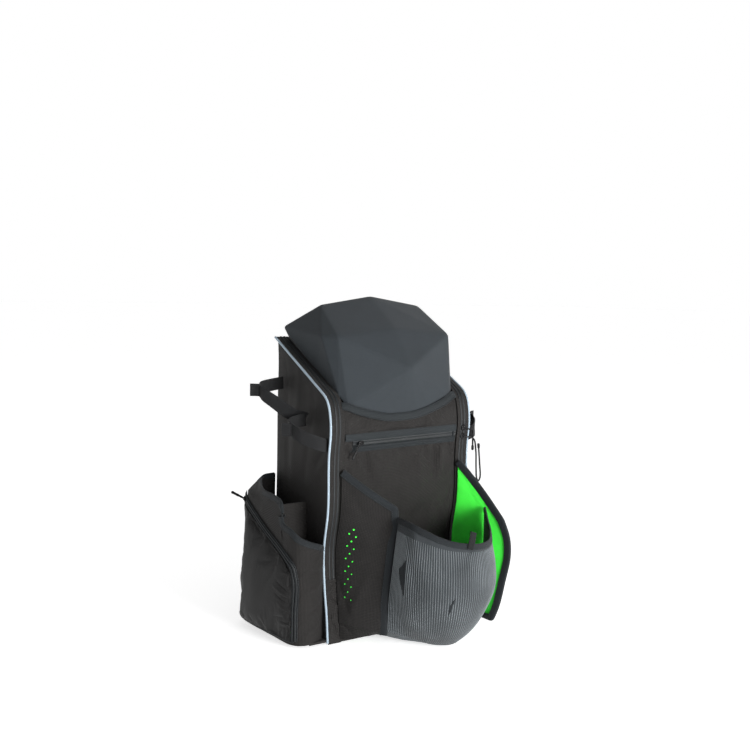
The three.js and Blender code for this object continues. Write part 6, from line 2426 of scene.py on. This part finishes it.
@dataclass
class Studio:
    """Camera, floor and soft lights."""

    focal_pixels: float = 1024.86
    frame_pixels: float = 750.0
    sensor: float = 36.0
    position: tuple[float, float, float] = (-1.0393, -1.5502, 0.5999)
    azimuth: float = 0.6006
    pitch: float = 0.0843
    roll: float = 0.0192

    def build_camera(self) -> None:
        """Camera where the photograph's was."""
        camera = bpy.data.cameras.new("camera")
        camera.sensor_width = self.sensor
        camera.lens = self.sensor * self.focal_pixels / self.frame_pixels
        made = bpy.data.objects.new("camera", camera)
        a, e, r = self.azimuth, self.pitch, self.roll
        forward = Vector((math.sin(a) * math.cos(e), math.cos(a) * math.cos(e), -math.sin(e)))
        right = Vector((math.cos(a), -math.sin(a), 0))
        up = right.cross(forward)
        turned = right * math.cos(r) + up * math.sin(r)
        raised = up * math.cos(r) - right * math.sin(r)
        turn = Matrix((turned, raised, -forward)).transposed().to_4x4()
        made.matrix_world = Matrix.Translation(self.position) @ turn
        bpy.context.scene.collection.objects.link(made)
        bpy.context.scene.camera = made

    def build_light(self, name: str, place: tuple, aim: tuple, size: float, power: float) -> None:
        """Soft rectangular light.

        Args:
            name: Name of the light.
            place: Its place.
            aim: What it faces.
            size: Side of its square.
            power: Its power in watts.
        """
        light = bpy.data.lights.new(name, "AREA")
        light.size = size
        light.energy = power
        made = bpy.data.objects.new(name, light)
        made.location = place
        made.rotation_euler = (Vector(aim) - Vector(place)).to_track_quat("-Z", "Y").to_euler()
        bpy.context.scene.collection.objects.link(made)

    def build_floor(self) -> None:
        """Plain pale floor."""
        mesh = bpy.data.meshes.new("floor")
        reach = 30.0
        corners = [(-reach, -reach, 0), (reach, -reach, 0), (reach, reach, 0), (-reach, reach, 0)]
        mesh.from_pydata([(x, y, -0.0005) for x, y, _ in corners], [], [(0, 1, 2, 3)])
        material = bpy.data.materials.new("floor")
        material.use_nodes = True
        shader = material.node_tree.nodes["Principled BSDF"]
        shader.inputs["Base Color"].default_value = (0.93, 0.93, 0.93, 1)
        shader.inputs["Roughness"].default_value = 0.9
        shader.inputs["Specular IOR Level"].default_value = 0.1
        shader.inputs["Emission Color"].default_value = (1, 1, 1, 1)
        shader.inputs["Emission Strength"].default_value = 0.62
        mesh.materials.append(material)
        made = bpy.data.objects.new("floor", mesh)
        bpy.context.scene.collection.objects.link(made)

    def shade_world(self, tree: bpy.types.NodeTree) -> None:
        """White surroundings that grow dimmer overhead and to the left."""
        links = tree.links
        place = tree.nodes.new("ShaderNodeTexCoord")
        split = tree.nodes.new("ShaderNodeSeparateXYZ")
        links.new(place.outputs["Generated"], split.inputs[0])
        level = []
        for axis, start, end, low in ((2, 0.28, 0.75, 0.2), (0, -0.25, -0.9, 0.62)):
            ramp = tree.nodes.new("ShaderNodeMapRange")
            links.new(split.outputs[axis], ramp.inputs["Value"])
            ramp.inputs["From Min"].default_value = start
            ramp.inputs["From Max"].default_value = end
            ramp.inputs["To Min"].default_value = 1.0
            ramp.inputs["To Max"].default_value = low
            level.append(ramp.outputs["Result"])
        product = tree.nodes.new("ShaderNodeMath")
        product.operation = "MULTIPLY"
        for socket, value in zip(product.inputs, level):
            links.new(value, socket)
        links.new(product.outputs[0], tree.nodes["Background"].inputs["Strength"])
        tree.nodes["Background"].inputs["Color"].default_value = (1, 1, 1, 1)

    def build(self) -> None:
        """The whole studio."""
        self.build_camera()
        self.build_floor()
        self.build_light("key", (0.35, -2.6, 0.45), (0, -0.05, 0.32), 1.0, 95)
        self.build_light("top", (0.2, -0.6, 2.6), (0, 0, 0.3), 2.0, 5)
        self.build_light("fill", (-2.4, -1.4, 1.1), (0, 0, 0.3), 1.8, 4)
        world = bpy.data.worlds.new("studio")
        world.use_nodes = True
        self.shade_world(world.node_tree)
        bpy.context.scene.world = world
        bpy.context.scene.view_settings.view_transform = "Standard"


def main() -> None:
    """Build the studio and every sub-assembly in order."""
    logging.basicConfig(level=logging.INFO, format="%(message)s")
    Studio().build()
    shape = BodyShape()
    sleeve = BatSleeve(shape)
    for part in (
        MainBody(shape),
        MouldedLid(shape),
        FrontZip(shape),
        sleeve,
        BatStraps(shape, sleeve),
        HelmetCarrier(shape),
        MainPulls(shape),
        CarryingSide(shape),
    ):
        LOG.info("building %s", type(part).__name__)
        part.build()


if __name__ == "__main__":
    main()
